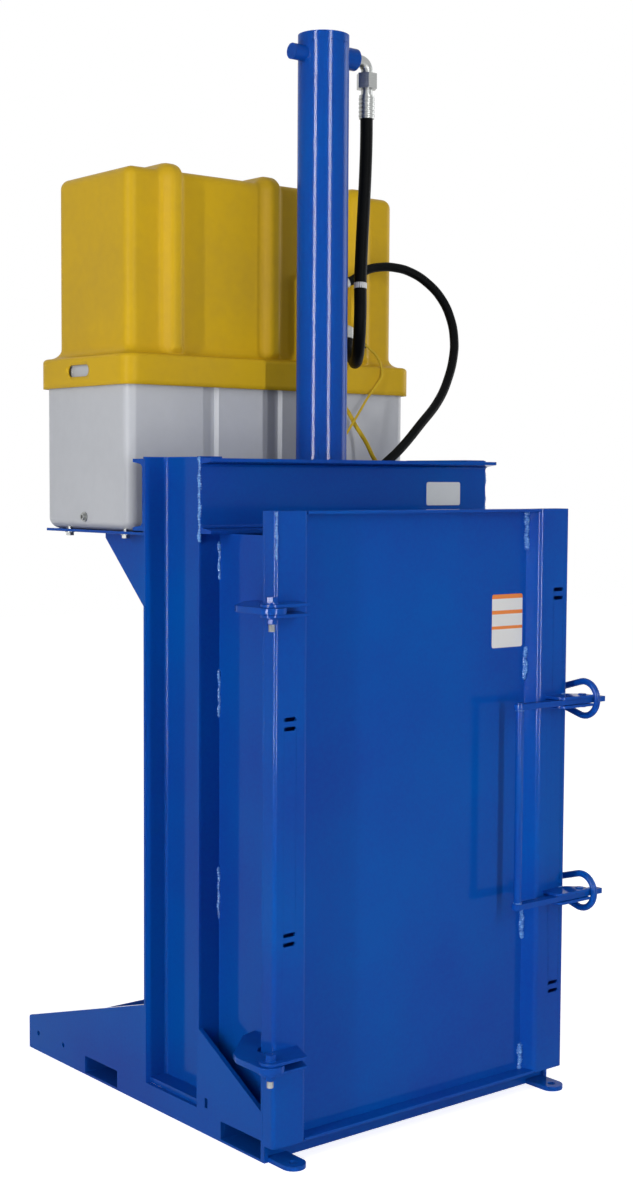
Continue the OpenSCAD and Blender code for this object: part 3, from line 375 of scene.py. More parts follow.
def label_face(name, bar):
    """White film with three level bars, placed by height on the door."""
    made = Finish(name, Specular_IOR_Level=0.4)
    tree = made.tree
    split = tree.add("ShaderNodeSeparateXYZ")
    tree.join(tree.place(), split.inputs[0])
    fall = tree.remap(split.outputs["Z"], LABEL_HIGH, LABEL_LOW, 0.0, 1.0)
    ramp = tree.add("ShaderNodeValToRGB")
    tree.join(fall, ramp.inputs["Fac"])
    stops = ramp.color_ramp
    stops.interpolation = "CONSTANT"
    white = (0.7, 0.7, 0.69, 1)
    stops.elements[0].color = rgba(bar)
    stops.elements[1].position = 0.08
    stops.elements[1].color = white
    for place, tint in ((0.30, rgba(bar)), (0.37, white), (0.59, rgba(bar)), (0.65, white)):
        stops.elements.new(place).color = tint
    grain = tree.remap(tree.noise(tree.place(), 240.0, 2), 0.3, 0.7, 0.0, 0.06)
    made.base(tree.blend(grain, ramp.outputs["Color"], (0.5, 0.5, 0.48, 1)))
    skin = made.group("Surface Grain", Pebble=900.0, Ripple=200.0, Gloss=0.35, Spread=0.1)
    made.rough(skin["Roughness"])
    return made.material


def make_finishes(look):
    """All materials by name. Those of the CAD parts have their slot's name in the record."""
    tone_drift_group()
    surface_grain_group()
    cloth_imprint_group()
    tool_lines_group()
    weld_paint(look.paint)
    finishes = (
        (painted, "blue_paint", look.paint, look.paint_deep, 0.1),
        (painted, "grey_paint", (0.26, 0.28, 0.3), (0.21, 0.22, 0.24), 0.4),
        (painted, "motor_iron", (0.1, 0.11, 0.12), (0.07, 0.075, 0.08), 0.5),
        (moulded, "yellow_plastic", look.skin, look.skin_deep, 0.42, 0.1),
        (moulded, "tub_plastic", look.tub, (0.45, 0.465, 0.5), 0.33, 0.3, 0.0004),
        (moulded, "plate_metal", (0.62, 0.65, 0.67), (0.54, 0.57, 0.6), 0.4, 0.4, 0.0002),
        (moulded, "dark_plastic", (0.03, 0.03, 0.032), (0.02, 0.02, 0.022), 0.45),
        (moulded, "tag_film", (0.7, 0.7, 0.7), (0.6, 0.6, 0.6), 0.4),
        (worked_metal, "zinc_steel", look.steel, (0.3, 0.31, 0.31), 0.34),
        (worked_metal, "machined_steel", (0.55, 0.55, 0.55), (0.42, 0.42, 0.42), 0.28, 2.0),
        (worked_metal, "chromed_rod", (0.72, 0.72, 0.74), (0.64, 0.64, 0.66), 0.1, 3.0),
        (worked_metal, "bare_aluminium", (0.68, 0.68, 0.69), (0.55, 0.55, 0.56), 0.36),
        (rubber, "black_rubber", look.rubber, (0.007, 0.0075, 0.008), 0.36, 900.0),
        (rubber, "yellow_rubber", (0.62, 0.43, 0.03), (0.5, 0.34, 0.03), 0.45, 500.0),
        (label_face, "label_film", look.label_bar),
    )
    return {name: make(name, *values) for make, name, *values in finishes}


# ---- Mesh helpers -----------------------------------------------------------


def mesh_piece(name, points, faces, smooth=True):
    """A new mesh object, with doubled points merged and faces turned outwards."""
    mesh = bpy.data.meshes.new(name)
    mesh.from_pydata([tuple(p) for p in points], [], faces)
    work = bmesh.new()
    work.from_mesh(mesh)
    bmesh.ops.remove_doubles(work, verts=work.verts, dist=0.00002)
    bmesh.ops.recalc_face_normals(work, faces=work.faces)
    for face in work.faces:
        face.smooth = smooth
    work.to_mesh(mesh)
    work.free()
    piece = bpy.data.objects.new(name, mesh)
    bpy.context.scene.collection.objects.link(piece)
    return piece


def apply_modifiers(piece):
    """Bakes the modifiers of piece into its own mesh."""
    graph = bpy.context.evaluated_depsgraph_get()
    baked = bpy.data.meshes.new_from_object(piece.evaluated_get(graph))
    piece.modifiers.clear()
    piece.data = baked


def finish_piece(piece, body, slot, material=None):
    """Gives a piece its finish, named by material or else by slot, and its body."""
    piece.data.materials.clear()
    piece.data.materials.append(bpy.data.materials[f"{material or slot} finish"])
    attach(piece, body)
    return piece


def soften(piece, width, angle=40):
    """Small rounded edges and smooth shading, without touching the piece's own points."""
    weld = piece.modifiers.new("Weld", "WELD")
    weld.merge_threshold = 0.00001
    bevel = piece.modifiers.new("Edge Round", "BEVEL")
    bevel.width = width
    bevel.segments = 2
    bevel.limit_method = "ANGLE"
    bevel.angle_limit = math.radians(angle)
    bevel.use_clamp_overlap = True
    normals = piece.modifiers.new("Face Normals", "WEIGHTED_NORMAL")
    normals.mode = "FACE_AREA"
    normals.weight = 100


def swept_tube(name, route, radii, sides=16):
    """A closed tube along a route of points, with one radius at each point."""
    points, faces = [], []
    count = len(route)
    axis = (route[-1] - route[0]).normalized()
    side = axis.orthogonal().normalized()
    for i, (centre, radius) in enumerate(zip(route, radii)):
        along = (route[min(i + 1, count - 1)] - route[max(i - 1, 0)]).normalized()
        side = (side - along * side.dot(along)).normalized()
        up = along.cross(side)
        for k in range(sides):
            turn = 2 * math.pi * k / sides
            points.append(centre + radius * (math.cos(turn) * side + math.sin(turn) * up))
    for i in range(count - 1):
        for k in range(sides):
            a, b = i * sides + k, i * sides + (k + 1) % sides
            faces.append((a, b, b + sides, a + sides))
    faces.append(tuple(range(sides)))
    faces.append(tuple(range((count - 1) * sides, count * sides)))
    return mesh_piece(name, points, faces)


def joined(name, pieces):
    """Several loose meshes as one object."""
    work = bmesh.new()
    for piece in pieces:
        work.from_mesh(piece.data)
        bpy.data.objects.remove(piece)
    mesh = bpy.data.meshes.new(name)
    work.to_mesh(mesh)
    work.free()
    whole = bpy.data.objects.new(name, mesh)
    bpy.context.scene.collection.objects.link(whole)
    return whole


# ---- Cords ------------------------------------------------------------------


def cord_curve(name, route_mm, diameter):
    """An open spline through the route's points, thickened to the cord's diameter."""
    curve = bpy.data.curves.new(name, "CURVE")
    curve.dimensions = "3D"
    curve.resolution_u = 10
    curve.bevel_depth = diameter / 2
    curve.bevel_resolution = 7
    curve.use_fill_caps = True
    spline = curve.splines.new("BEZIER")
    spline.bezier_points.add(len(route_mm) - 1)
    for point, place in zip(spline.bezier_points, route_mm):
        point.co = Vector(place) * MM
        point.handle_left_type = point.handle_right_type = "AUTO"
    piece = bpy.data.objects.new(name, curve)
    bpy.context.scene.collection.objects.link(piece)
    bpy.context.view_layer.update()
    return piece


def lay_cord(name, node, route_mm, diameter, slot):
    """A cord or hose that stands for its CAD node and ends in fittings at both ends."""
    piece = finish_piece(cord_curve(name, route_mm, diameter), "frame", slot)
    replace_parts(piece, node)
    return piece


# Centre lines in millimetres, from each fitting or gland to the one at the other end
UPPER_HOSE_ROUTE = [
    (124, 0, 2141), (124, 0, 2101), (122, 0, 2030), (117, -1, 1950), (108, -5, 1852),
    (101, -10, 1782), (98, -14, 1722), (102, -8, 1684), (114, 9, 1649), (134, 37, 1621),
    (160, 75, 1611), (185, 110, 1619), (195.8, 145.0, 1645.6), (202.7, 154.9, 1666.3),
]
LOWER_HOSE_ROUTE = [
    (204.4, 158.2, 1802.1), (219, 156.3, 1808.2), (253, 150, 1832), (289, 141, 1842),
    (327, 131, 1843), (366, 120, 1835), (404, 102, 1811), (433, 81, 1772), (448, 65, 1724),
    (446, 51, 1677), (434, 40, 1637), (407, 30, 1580), (369, 20, 1530), (302, 10, 1471),
    (233, 3, 1413), (175.2, 0, 1373.4), (156, 0, 1359),
]
THIN_CORD_ROUTE = [
    (257, 155, 1658), (257, 151, 1658), (266, 148, 1650), (287, 149, 1636), (304, 149, 1609),
    (304, 148, 1591), (286, 147, 1565), (258, 143, 1538), (227, 136, 1504), (190, 127, 1465),
    (160, 123, 1428), (150, 122.5, 1408), (150, 122.5, 1398),
]
THICK_CORD_ROUTE = [
    (182, 164, 1522), (182, 156, 1522), (196, 149, 1508), (206, 145, 1492), (213, 134, 1469),
    (219, 122, 1450), (222, 106, 1429), (224, 80, 1392), (237, 60, 1362), (260, 46, 1342),
    (260, 46, 1332),
]

# Lower and upper end of the white tag, on the upper hose's centre line
TAG_ENDS = (100.2, -11.0, 1766), (101.3, -9.9, 1779)

# ---- Cover ------------------------------------------------------------------

# Middle of each rib across the cover
RIB_PLACES = (-265 * MM, 3 * MM, 267 * MM)
RIM_HEIGHT = 67 * MM
BODY_HALF_X = 377 * MM
BODY_HALF_Y = 146 * MM
BODY_TOP = 2013 * MM
# Height of the hollow sweep from the rim up into the wall
SHOULDER = 22.4 * MM
# Raised field that carries the hose fittings
PAD_LEFT, PAD_RIGHT = 61 * MM, 236 * MM
PAD_TOP = 1815 * MM
PAD_RISE = 11 * MM
# How far a rib stands above the top
RIB_OVER = 15 * MM


def ease(t):
    """A soft step from 0 to 1."""
    t = min(max(t, 0.0), 1.0)
    return t * t * (3 - 2 * t)


def spaced(low, high, step):
    """Evenly spaced numbers from low to high, both included."""
    count = max(1, round((high - low) / step))
    return [low + (high - low) * i / count for i in range(count + 1)]


class CoverSkin:
    """The moulded cover as one shell: rim, flared shoulder, ribbed walls and crowned top."""

    def __init__(self, shape):
        self.shape = shape
        self.mid = (COVER_LOW[1] + COVER_HIGH[1]) / 2
        self.rim_top = COVER_LOW[2] + RIM_HEIGHT
        self.rim_x = COVER_HIGH[0]
        self.rim_y = (COVER_HIGH[1] - COVER_LOW[1]) / 2
        inner_x = BODY_HALF_X - shape.edge_round
        self.columns = spaced(-inner_x, inner_x, 6 * MM)
        inner_y = BODY_HALF_Y - shape.edge_round
        self.rows = spaced(-inner_y, inner_y, 12 * MM)

    def rib(self, x):
        """1 on a rib's face, falling to 0 at the foot of its flanks."""
        reach = min(abs(x - place) for place in RIB_PLACES)
        return ease(1 - (reach - self.shape.rib_face / 2) / self.shape.rib_flank)

    def foot(self, z):
        """Fades a rib out in a rounded end above the rim."""
        return math.sqrt(ease((z - self.rim_top - 2 * MM) / (18 * MM)))

    def pad(self, x, z):
        """1 on the raised field that carries the hose fittings."""
        edge = 10 * MM
        side = min(x - PAD_LEFT, PAD_RIGHT - x)
        above = PAD_TOP - z
        corner = 24 * MM
        if side < corner and above < corner:
            side = corner - math.hypot(corner - side, corner - above)
        else:
            side = min(side, above)
        return ease(side / edge)

    def outline(self, half_x, half_y, corner, z, cos=1.0, rise=0.0):
        """One level loop. Points keep their order, so that loops can be stitched.

        Over the rounded top edge, cos draws the ribs and the pad in and rise lifts the ribs.
        """
        shape = self.shape
        walls = z > self.rim_top + 2 * MM
        loop = []

        def wall_point(x, side):
            push = shape.rib_rise * self.rib(x) * (self.foot(z) if walls else 0.0) * cos
            if side < 0 and walls:
                push = max(push, PAD_RISE * self.pad(x, z) * cos)
            lift = rise * self.rib(x)
            return (x, self.mid + side * (half_y + push), z + lift)

        scale = (half_x - corner) / (BODY_HALF_X - shape.edge_round)
        deep = (half_y - corner) / (BODY_HALF_Y - shape.edge_round)
        steps = 6

        def corner_arc(cx, cy, start):
            for i in range(1, steps):
                turn = start + math.pi / 2 * i / steps
                loop.append((cx + corner * math.cos(turn), self.mid + cy + corner * math.sin(turn), z))

        loop += [wall_point(x * scale, -1) for x in self.columns]
        corner_arc(half_x - corner, -(half_y - corner), -math.pi / 2)
        loop += [(half_x, self.mid + y * deep, z) for y in self.rows]
        corner_arc(half_x - corner, half_y - corner, 0)
        loop += [wall_point(x * scale, 1) for x in reversed(self.columns)]
        corner_arc(-(half_x - corner), half_y - corner, math.pi / 2)
        loop += [(-half_x, self.mid + y * deep, z) for y in reversed(self.rows)]
        corner_arc(-(half_x - corner), -(half_y - corner), math.pi)
        return loop

    def loops(self):
        """All level loops from the rim's lower edge to the edge of the top."""
        shape = self.shape
        low, rim_top = COVER_LOW[2], self.rim_top
        rounding = 9 * MM
        loops = []
        for z in spaced(low, rim_top - rounding, 12 * MM):
            loops.append(self.outline(self.rim_x, self.rim_y, shape.rim_round, z))
        # Rounded upper corner of the rim, then a hollow sweep up into the wall
        for i in range(1, 7):
            turn = math.pi / 2 * i / 6
            inset = rounding * (1 - math.cos(turn))
            z = rim_top - rounding + rounding * math.sin(turn)
            corner = shape.rim_round - inset / 2
            loops.append(self.outline(self.rim_x - inset, self.rim_y - inset, corner, z))
        start_x, start_y = self.rim_x - rounding, self.rim_y - rounding
        start_corner = shape.rim_round - rounding / 2
        for i in range(1, 8):
            turn = math.pi / 2 * i / 7
            part = math.sin(turn)
            z = rim_top + SHOULDER * (1 - math.cos(turn))
            half_x = start_x + (BODY_HALF_X - start_x) * part
            half_y = start_y + (BODY_HALF_Y - start_y) * part
            corner = start_corner + (shape.edge_round - start_corner) * part
            loops.append(self.outline(half_x, half_y, corner, z))
        foot = rim_top + SHOULDER
        edge = BODY_TOP - shape.edge_round
        for z in spaced(foot, edge, 6 * MM)[1:]:
            loops.append(self.outline(BODY_HALF_X, BODY_HALF_Y, shape.edge_round, z))
        for i in range(1, 9):
            turn = math.pi / 2 * i / 8
            inset = shape.edge_round * (1 - math.cos(turn))
            z = edge + shape.edge_round * math.sin(turn)
            corner = max(shape.edge_round - inset, 0.0)
            loops.append(
                self.outline(
                    BODY_HALF_X - inset, BODY_HALF_Y - inset, corner, z,
                    cos=math.cos(turn), rise=RIB_OVER * math.sin(turn),
                )
            )
        return loops

    def build(self):
        loops = self.loops()
        size = len(loops[0])
        points = [p for loop in loops for p in loop]
        faces = []
        for level in range(len(loops) - 1):
            for k in range(size):
                a, b = level * size + k, level * size + (k + 1) % size
                faces.append((a, b, b + size, a + size))
        start = len(points)
        across = len(self.columns)
        for y in self.rows:
            for x in self.columns:
                points.append((x, self.mid + y, BODY_TOP + RIB_OVER * self.rib(x)))
        for j in range(len(self.rows) - 1):
            for i in range(across - 1):
                a = start + j * across + i
                faces.append((a, a + 1, a + 1 + across, a + across))
        piece = mesh_piece("cover_skin", points, faces)
        shell = piece.modifiers.new("Wall", "SOLIDIFY")
        shell.thickness = self.shape.wall
        shell.offset = -1
        shell.use_rim = True
        apply_modifiers(piece)
        self.cut_hand_slot(piece)
        return piece

    def cut_hand_slot(self, piece):
        """Cuts the slot for the finger tips through the left side of the rim."""
        middle_y, middle_z = 351 * MM, 1580 * MM
        half_long, half_high = 43.5 * MM, 13 * MM
        straight = half_long - half_high
        ring = []
        for i in range(32):
            turn = 2 * math.pi * i / 32
            shift = math.copysign(straight, math.cos(turn))
            y = middle_y + shift + half_high * math.cos(turn)
            ring.append((y, middle_z + half_high * math.sin(turn)))
        count = len(ring)
        points = [(x, y, z) for x in (-0.44, -0.39) for y, z in ring]
        faces = [(k, (k + 1) % count, (k + 1) % count + count, k + count) for k in range(count)]
        faces += [tuple(range(count)), tuple(range(count, 2 * count))]
        cutter = mesh_piece("slot_cutter", points, faces)
        cut = piece.modifiers.new("Slot", "BOOLEAN")
        cut.operation = "DIFFERENCE"
        cut.solver = "EXACT"
        cut.object = cutter
        apply_modifiers(piece)
        bpy.data.objects.remove(cutter)


# ---- Welds and small details ------------------------------------------------


def weld_bead(name, start, end, width, phase=0.0):
    """A rippled weld bead along a straight seam, points in millimetres."""
    start, end = Vector(start) * MM, Vector(end) * MM
    length = (end - start).length
    steps = max(8, int(length / (1.5 * MM)))
    route, radii = [], []
    for i in range(steps + 1):
        t = i / steps
        ends = min(1.0, 0.45 + min(t, 1 - t) * length / (5 * MM))
        run = t * length / MM
        ripple = 1 + 0.2 * math.sin(phase + run * 2 * math.pi / 5.5)
        wander = 0.16 * math.sin(phase * 3 + run / 9) + 0.12 * math.sin(phase * 5 + run / 3.1)
        sway = Vector((1, 0, 0)) * 0.14 * width * MM * math.sin(phase * 2 + run / 6.3)
        route.append(start.lerp(end, t) + sway * ends)
        radii.append(width / 2 * MM * ends * (ripple + wander))
    return swept_tube(name, route, radii, 10)


def screw_thread(name, centre, low, high, root, crest, pitch, sides=28):
    """A closed threaded sleeve on an upright axis, in millimetres."""
    rows = int((high - low) / pitch * 2) + 5
    points, faces = [], []
    for i in range(rows):
        for k in range(sides):
            z = low + (i - 2 + 2 * k / sides) * pitch / 2
            end = min(max(z, low), high)
            reach = root if i % 2 or end != z else crest
            turn = 2 * math.pi * k / sides
            out = Vector((math.cos(turn), math.sin(turn), 0)) * reach
            points.append((Vector((*centre, end)) + out) * MM)
    for i in range(rows - 2):
        for k in range(sides - 1):
            a = i * sides + k
            faces.append((a, a + 1, a + 1 + sides, a + sides))
        a, b = i * sides + sides - 1, (i + 2) * sides
        faces.append((a, b, b + sides, a + sides) if i + 3 < rows else (a, b, a + sides))
    faces.append((sides - 1, 0, sides, 2 * sides))
    faces.append(tuple(range(sides)))
    faces.append(tuple(range((rows - 2) * sides, (rows - 1) * sides)))
    return mesh_piece(name, points, faces, smooth=False)


def ring_band(name, start, end, radius, rise, sides=32):
    """A raised band with rounded edges round a fitting, points in millimetres."""
    start, end = Vector(start), Vector(end)
    profile = ((0.0, -0.4), (0.04, 0.55), (0.14, 1.0), (0.86, 1.0), (0.96, 0.55), (1.0, -0.4))
    route = [start.lerp(end, t) * MM for t, _ in profile]
    return swept_tube(name, route, [(radius + rise * share) * MM for _, share in profile], sides)


# Hinge bolts: axis, heights, and how far below each height the thread ends and starts
HINGE_PIN = (-451, -409)
HINGE_HEIGHTS = (227, 1099)
THREAD_END, THREAD_START = 39.3, 25.9
# Crimped sleeves: a point on the axis, its direction, a band's length,
# the sleeve's radius, and where each band starts
CRIMPS = (
    ((124, 0, 2141), (0, 0, 1), 5.5, 16.75, (4, 13, 22, 31, 40)),
    ((156, 0, 1359), (-0.8, 0, -0.6), 4, 13, (5, 12, 19)),
)


def upright_seams(x, y, width, *spans):
    """Upright seams at one place, one for each span of heights."""
    return [((x, y, low), (x, y, high), width) for low, high in spans]


def ring_seams(x, y, z, radius, width):
    """Eight short level seams that close a ring round an upright rod."""
    ring = [(x + radius * math.cos(0.8 * i), y + radius * math.sin(0.8 * i), z) for i in range(9)]
    return [(start, end, width) for start, end in zip(ring, ring[1:])]


# Welds by body: start and end of each seam and the bead's width
WELDS = {
    "door": [
        *upright_seams(303, -334, 12, (1194, 1279), (912, 984), (338, 412), (43, 105)),
        *upright_seams(-318, -333, 8, (1110, 1180), (790, 860), (450, 520), (130, 200)),
        *upright_seams(-408, -367, 5, (1192, 1282)),
        *(((385, -367, z + side), (399, -367, z + side), 5) for z in (865, 435) for side in (-12, 12)),
    ],
    "frame": [
        *upright_seams(-349, -101.5, 8, (1139, 1218), (857, 956), (437, 546), (80, 160)),
        *upright_seams(349, -101.5, 8, (1139, 1218), (857, 956), (437, 546), (80, 160)),
        *(seam for x in (-395, 395) for seam in upright_seams(x, 102, 7, (60, 208))),
        *(seam for x in (-400, 400) for seam in upright_seams(x, -103, 7, (1216, 1389))),
    ],
    "latch": [
        *ring_seams(222, -400, 858, 8.2, 4),
        *ring_seams(222, -400, 442, 8.2, 4),
    ],
}


def rounded_plate(name, left, right, low, high, corner, front, back):
    """A thin upright plate with rounded corners, facing -Y."""
    ring = []
    for cx, cz, start in (
        (right - corner, high - corner, 0), (left + corner, high - corner, 90),
        (left + corner, low + corner, 180), (right - corner, low + corner, 270),
    ):
        for i in range(7):
            turn = math.radians(start + 15 * i)
            ring.append((cx + corner * math.cos(turn), cz + corner * math.sin(turn)))
    count = len(ring)
    points = [(x, y, z) for y in (front, back) for x, z in ring]
    faces = [(k, (k + 1) % count, (k + 1) % count + count, k + count) for k in range(count)]
    faces += [tuple(range(count)), tuple(range(count, 2 * count))]
    return mesh_piece(name, points, faces, smooth=False)


# ---- Operators --------------------------------------------------------------


CAMERA_PLACE = (-2463.4, -3016.4, 1345.9)
# Yaw, pitch and roll in degrees
CAMERA_TURN = (39.11, 3.93, 0.32)
# Lamp azimuths in degrees, from the door side towards the left
LEFT_LAMP, RIGHT_LAMP, SIDE_LAMP = 75, 8, -80
# Brings the floor up to white where it is seen, and keeps the shadow on it
FLOOR_LIFT = 0.74


def softbox(name, azimuth, reach, height, wide, tall, watts):
    """A rectangular lamp at an azimuth and a distance, aimed at the machine's middle."""
    data = bpy.data.lights.new(name, "AREA")
    data.shape = "RECTANGLE"
    data.size, data.size_y = wide, tall
    data.energy = watts
    lamp = bpy.data.objects.new(name, data)
    bpy.context.scene.collection.objects.link(lamp)
    turn = math.radians(azimuth)
    place = Vector((-math.sin(turn) * reach, -math.cos(turn) * reach, height))
    lamp.location = place
    lamp.rotation_euler = (Vector((0, 0, 1.15)) - place).to_track_quat("-Z", "Y").to_euler()
    return lamp


class CRUSHER_OT_studio(bpy.types.Operator):
    """Set up the camera, the pale floor, the plain background and the soft lamps"""

    bl_idname = "crusher.studio"
    bl_label = "Studio"

    def execute(self, context):
        studio = context.scene.crusher_studio
        self.camera(context, studio)
        self.background(context, studio)
        self.floor(studio)
        self.lamps(studio)
        return {"FINISHED"}

    def camera(self, context, studio):
        data = bpy.data.cameras.new("camera")
        data.lens = studio.lens
        data.sensor_fit = "VERTICAL"
        data.sensor_height = 36
        data.clip_end = 60
        camera = bpy.data.objects.new("camera", data)
        context.scene.collection.objects.link(camera)
        yaw, pitch, roll = (math.radians(turn) for turn in CAMERA_TURN)
        level = Vector((math.sin(yaw), math.cos(yaw), 0))
        forward = level * math.cos(pitch) - Vector((0, 0, math.sin(pitch)))
        right = Vector((math.cos(yaw), -math.sin(yaw), 0))
        up = right.cross(forward)
        across = right * math.cos(roll) + up * math.sin(roll)
        upright = up * math.cos(roll) - right * math.sin(roll)
        turn = Matrix((across, upright, -forward)).transposed().to_4x4()
        camera.matrix_world = Matrix.Translation(Vector(CAMERA_PLACE) * MM) @ turn
        context.scene.camera = camera

    def background(self, context, studio):
        world = bpy.data.worlds.new("studio")
        world.use_nodes = True
        context.scene.world = world
        tree = Tree(world.node_tree)
        plain = tree.nodes["Background"]
        plain.inputs["Color"].default_value = (1, 1, 1, 1)
        plain.inputs["Strength"].default_value = studio.fill
        white = tree.add("ShaderNodeBackground")
        rays = tree.add("ShaderNodeLightPath").outputs
        seen = tree.math("MAXIMUM", rays["Is Camera Ray"], rays["Is Glossy Ray"])
        seen = tree.math("MAXIMUM", seen, rays["Is Transmission Ray"])
        white.inputs["Color"].default_value = (1, 1, 1, 1)
        mix = tree.add("ShaderNodeMixShader")
        tree.join(seen, mix.inputs[0])
        tree.join(plain.outputs[0], mix.inputs[1])
        tree.join(white.outputs[0], mix.inputs[2])
        tree.join(mix.outputs[0], tree.nodes["World Output"].inputs[0])

    def floor(self, studio):
        half = studio.floor_size / 2
        corners = [(-half, -half, 0), (half, -half, 0), (half, half, 0), (-half, half, 0)]
        floor = mesh_piece("floor", corners, [(0, 1, 2, 3)])
        material = bpy.data.materials.new("floor")
        material.use_nodes = True
        tree = Tree(material.node_tree)
        shader = tree.nodes["Principled BSDF"]
        shader.inputs["Roughness"].default_value = 0.9
        shader.inputs["Specular IOR Level"].default_value = 0.0
        grain = tree.remap(tree.noise(tree.place(), 3.0, 3), 0.3, 0.7, 0.0, 1.0)
        pale = tree.blend(grain, (0.86, 0.86, 0.86, 1), (0.88, 0.88, 0.88, 1))
        tree.join(pale, shader.inputs["Base Color"])
        lift = tree.add("ShaderNodeEmission")
        rays = tree.add("ShaderNodeLightPath").outputs
        seen = tree.math("MAXIMUM", rays["Is Camera Ray"], rays["Is Glossy Ray"])
        tree.join(tree.math("MULTIPLY", seen, FLOOR_LIFT), lift.inputs["Strength"])
        both = tree.add("ShaderNodeAddShader")
        tree.join(shader.outputs[0], both.inputs[0])
        tree.join(lift.outputs[0], both.inputs[1])
        tree.join(both.outputs[0], tree.nodes["Material Output"].inputs[0])
        floor.data.materials.append(material)

    def lamps(self, studio):
        softbox("left_strip", LEFT_LAMP, 5.0, 1.7, 0.14, 4.2, studio.strip)
        softbox("right_strip", RIGHT_LAMP, 5.0, 1.7, 0.12, 4.2, studio.strip * 0.75)
        for name, azimuth, share in (("left_sheen", LEFT_LAMP, 1.0), ("right_sheen", RIGHT_LAMP, 0.85)):
            sheen = softbox(name, azimuth, 5.0, 1.7, 1.1, 4.6, studio.sheen * share)
            sheen.visible_diffuse = False
        softbox("side_fill", SIDE_LAMP, 5.5, 2.4, 2.4, 2.4, studio.side)


EDGE_ROUND = {"tub": 4 * MM, "platen": 2 * MM, "nameplate": 0.3 * MM}


class CRUSHER_OT_finishes(bpy.types.Operator):
    """Make every finish and put it on the solid parts"""

    bl_idname = "crusher.finishes"
    bl_label = "Finishes"

    def execute(self, context):
        made = make_finishes(context.scene.crusher_finish)
        slots = {part["node"]: part["material_slot"] for part in frame["record"]["subparts"]}
        # The sheen lamps reach the painted steel alone
        glossy = bpy.data.collections.new("Glossy Paint")
        for node, piece in frame["nodes"].items():
            if slots[node] not in made:
                raise RuntimeError(f"{node} has no finish for {slots[node]}")
            piece.data.materials.clear()
            piece.data.materials.append(made[slots[node]])
            soften(piece, EDGE_ROUND.get(node, 0.8 * MM))
            if slots[node] == "blue_paint":
                glossy.objects.link(piece)
        for name in ("left_sheen", "right_sheen"):
            bpy.data.objects[name].light_linking.receiver_collection = glossy
        return {"FINISHED"}


class CRUSHER_OT_cords(bpy.types.Operator):
    """Lay the two hydraulic hoses and the two control cords"""

    bl_idname = "crusher.cords"
    bl_label = "Hoses and cords"

    def execute(self, context):
        sizes = context.scene.crusher_cords
        tag = self.tag(sizes.upper_hose)
        for name, node, route, slot, stiffness, with_pieces in (
            ("upper_hose_tube", "upper_hose", UPPER_HOSE_ROUTE, "black_rubber", "stiff", [tag]),
            ("lower_hose_tube", "lower_hose", LOWER_HOSE_ROUTE, "black_rubber", "stiff", ()),
            ("thin_cord_line", "thin_cord", THIN_CORD_ROUTE, "yellow_rubber", "medium", ()),
            ("thick_cord_line", "thick_cord", THICK_CORD_ROUTE, "yellow_rubber", "medium", ()),
        ):
            lay_cord(name, node, route, getattr(sizes, node), slot)
        return {"FINISHED"}

    def tag(self, hose):
        """The white tag wrapped round the upper hose."""
        low, high = (Vector(end) * MM for end in TAG_ENDS)
        radius = hose / 2 + 0.6 * MM
        route = [low.lerp(high, t) for t in (0, 0.02, 0.5, 0.98, 1)]
        ring = swept_tube("hose_tag", route, [radius * 0.97, radius, radius, radius, radius * 0.97], 32)
        return finish_piece(ring, "frame", "black_rubber", "tag_film")


class CRUSHER_OT_cover(bpy.types.Operator):
    """Mould the power unit's cover as one soft-edged shell"""

    bl_idname = "crusher.cover"
    bl_label = "Cover"

    def execute(self, context):
        piece = CoverSkin(context.scene.crusher_cover).build()
        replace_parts(finish_piece(piece, "frame", "yellow_plastic"), "cover")
        return {"FINISHED"}


class CRUSHER_OT_welds(bpy.types.Operator):
    """Lay the stitch welds along the visible seams"""

    bl_idname = "crusher.welds"
    bl_label = "Welds"

    def execute(self, context):
        for body, seams in WELDS.items():
            beads = [weld_bead(f"{body}_bead_{i}", *seam, i * 1.7) for i, seam in enumerate(seams)]
            finish_piece(joined(f"{body}_welds", beads), body, "blue_paint", "weld_paint")
        return {"FINISHED"}


class CRUSHER_OT_hardware(bpy.types.Operator):
    """Cut the threads of the hinge bolts and crimp the hose ends"""

    bl_idname = "crusher.hardware"
    bl_label = "Threads and crimps"

    def execute(self, context):
        threads = [
            screw_thread(
                f"thread_{z}", HINGE_PIN, z - THREAD_END, z - THREAD_START, root=6.05, crest=6.6, pitch=1.75
            )
            for z in HINGE_HEIGHTS
        ]
        finish_piece(joined("hinge_threads", threads), "door", "blue_paint", "zinc_steel")
        crimps = []
        for start, along, length, radius, places in CRIMPS:
            start, along = Vector(start), Vector(along).normalized()
            for at in places:
                low, high = start + along * at, start + along * (at + length)
                crimps.append(ring_band("crimp", low, high, radius, 0.9))
        finish_piece(joined("crimp_bands", crimps), "frame", "zinc_steel")
        return {"FINISHED"}


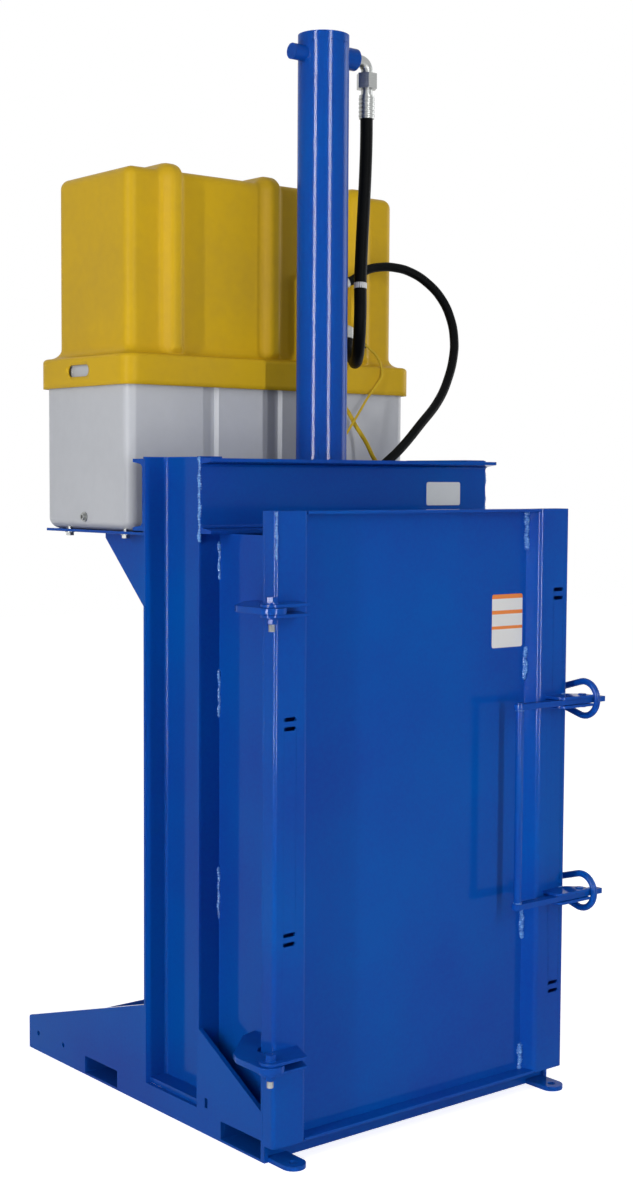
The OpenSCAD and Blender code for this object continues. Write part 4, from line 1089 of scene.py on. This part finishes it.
class CRUSHER_OT_label(bpy.types.Operator):
    """Stick the plain barred label on the door"""

    bl_idname = "crusher.label"
    bl_label = "Door label"

    def execute(self, context):
        film = rounded_plate(
            "door_label", LABEL_LEFT, LABEL_RIGHT, LABEL_LOW, LABEL_HIGH,
            corner=5 * MM, front=PANEL_FACE - 0.3 * MM, back=PANEL_FACE - 0.02 * MM,
        )
        finish_piece(film, "door", "plate_metal", "label_film")
        return {"FINISHED"}


class CRUSHER_PT_panel(bpy.types.Panel):
    """Lists the builders and their settings"""

    bl_idname = "CRUSHER_PT_panel"
    bl_label = "Drum Crusher"
    bl_space_type = "VIEW_3D"
    bl_region_type = "UI"
    bl_category = "Drum Crusher"

    def draw(self, context):
        layout = self.layout
        for operator in OPERATORS:
            layout.operator(operator.bl_idname)
        for name in SETTINGS:
            group = getattr(context.scene, name)
            box = layout.box()
            for key in group.__annotations__:
                box.prop(group, key)


SETTINGS = {
    "crusher_finish": FinishSettings,
    "crusher_cover": CoverSettings,
    "crusher_cords": CordSettings,
    "crusher_studio": StudioSettings,
}
OPERATORS = (
    CRUSHER_OT_studio,
    CRUSHER_OT_finishes,
    CRUSHER_OT_cords,
    CRUSHER_OT_cover,
    CRUSHER_OT_welds,
    CRUSHER_OT_hardware,
    CRUSHER_OT_label,
)


def register():
    for group in SETTINGS.values():
        bpy.utils.register_class(group)
    for name, group in SETTINGS.items():
        setattr(bpy.types.Scene, name, PointerProperty(type=group))
    for operator in OPERATORS:
        bpy.utils.register_class(operator)
    bpy.utils.register_class(CRUSHER_PT_panel)


def unregister():
    bpy.utils.unregister_class(CRUSHER_PT_panel)
    for operator in reversed(OPERATORS):
        bpy.utils.unregister_class(operator)
    for name in SETTINGS:
        delattr(bpy.types.Scene, name)
    for group in SETTINGS.values():
        bpy.utils.unregister_class(group)


def main():
    register()
    bpy.context.scene.view_settings.view_transform = "Standard"
    for operator in OPERATORS:
        family, name = operator.bl_idname.split(".")
        if getattr(getattr(bpy.ops, family), name)() != {"FINISHED"}:
            raise RuntimeError(f"{operator.bl_idname} did not finish")


if __name__ == "__main__":
    main()
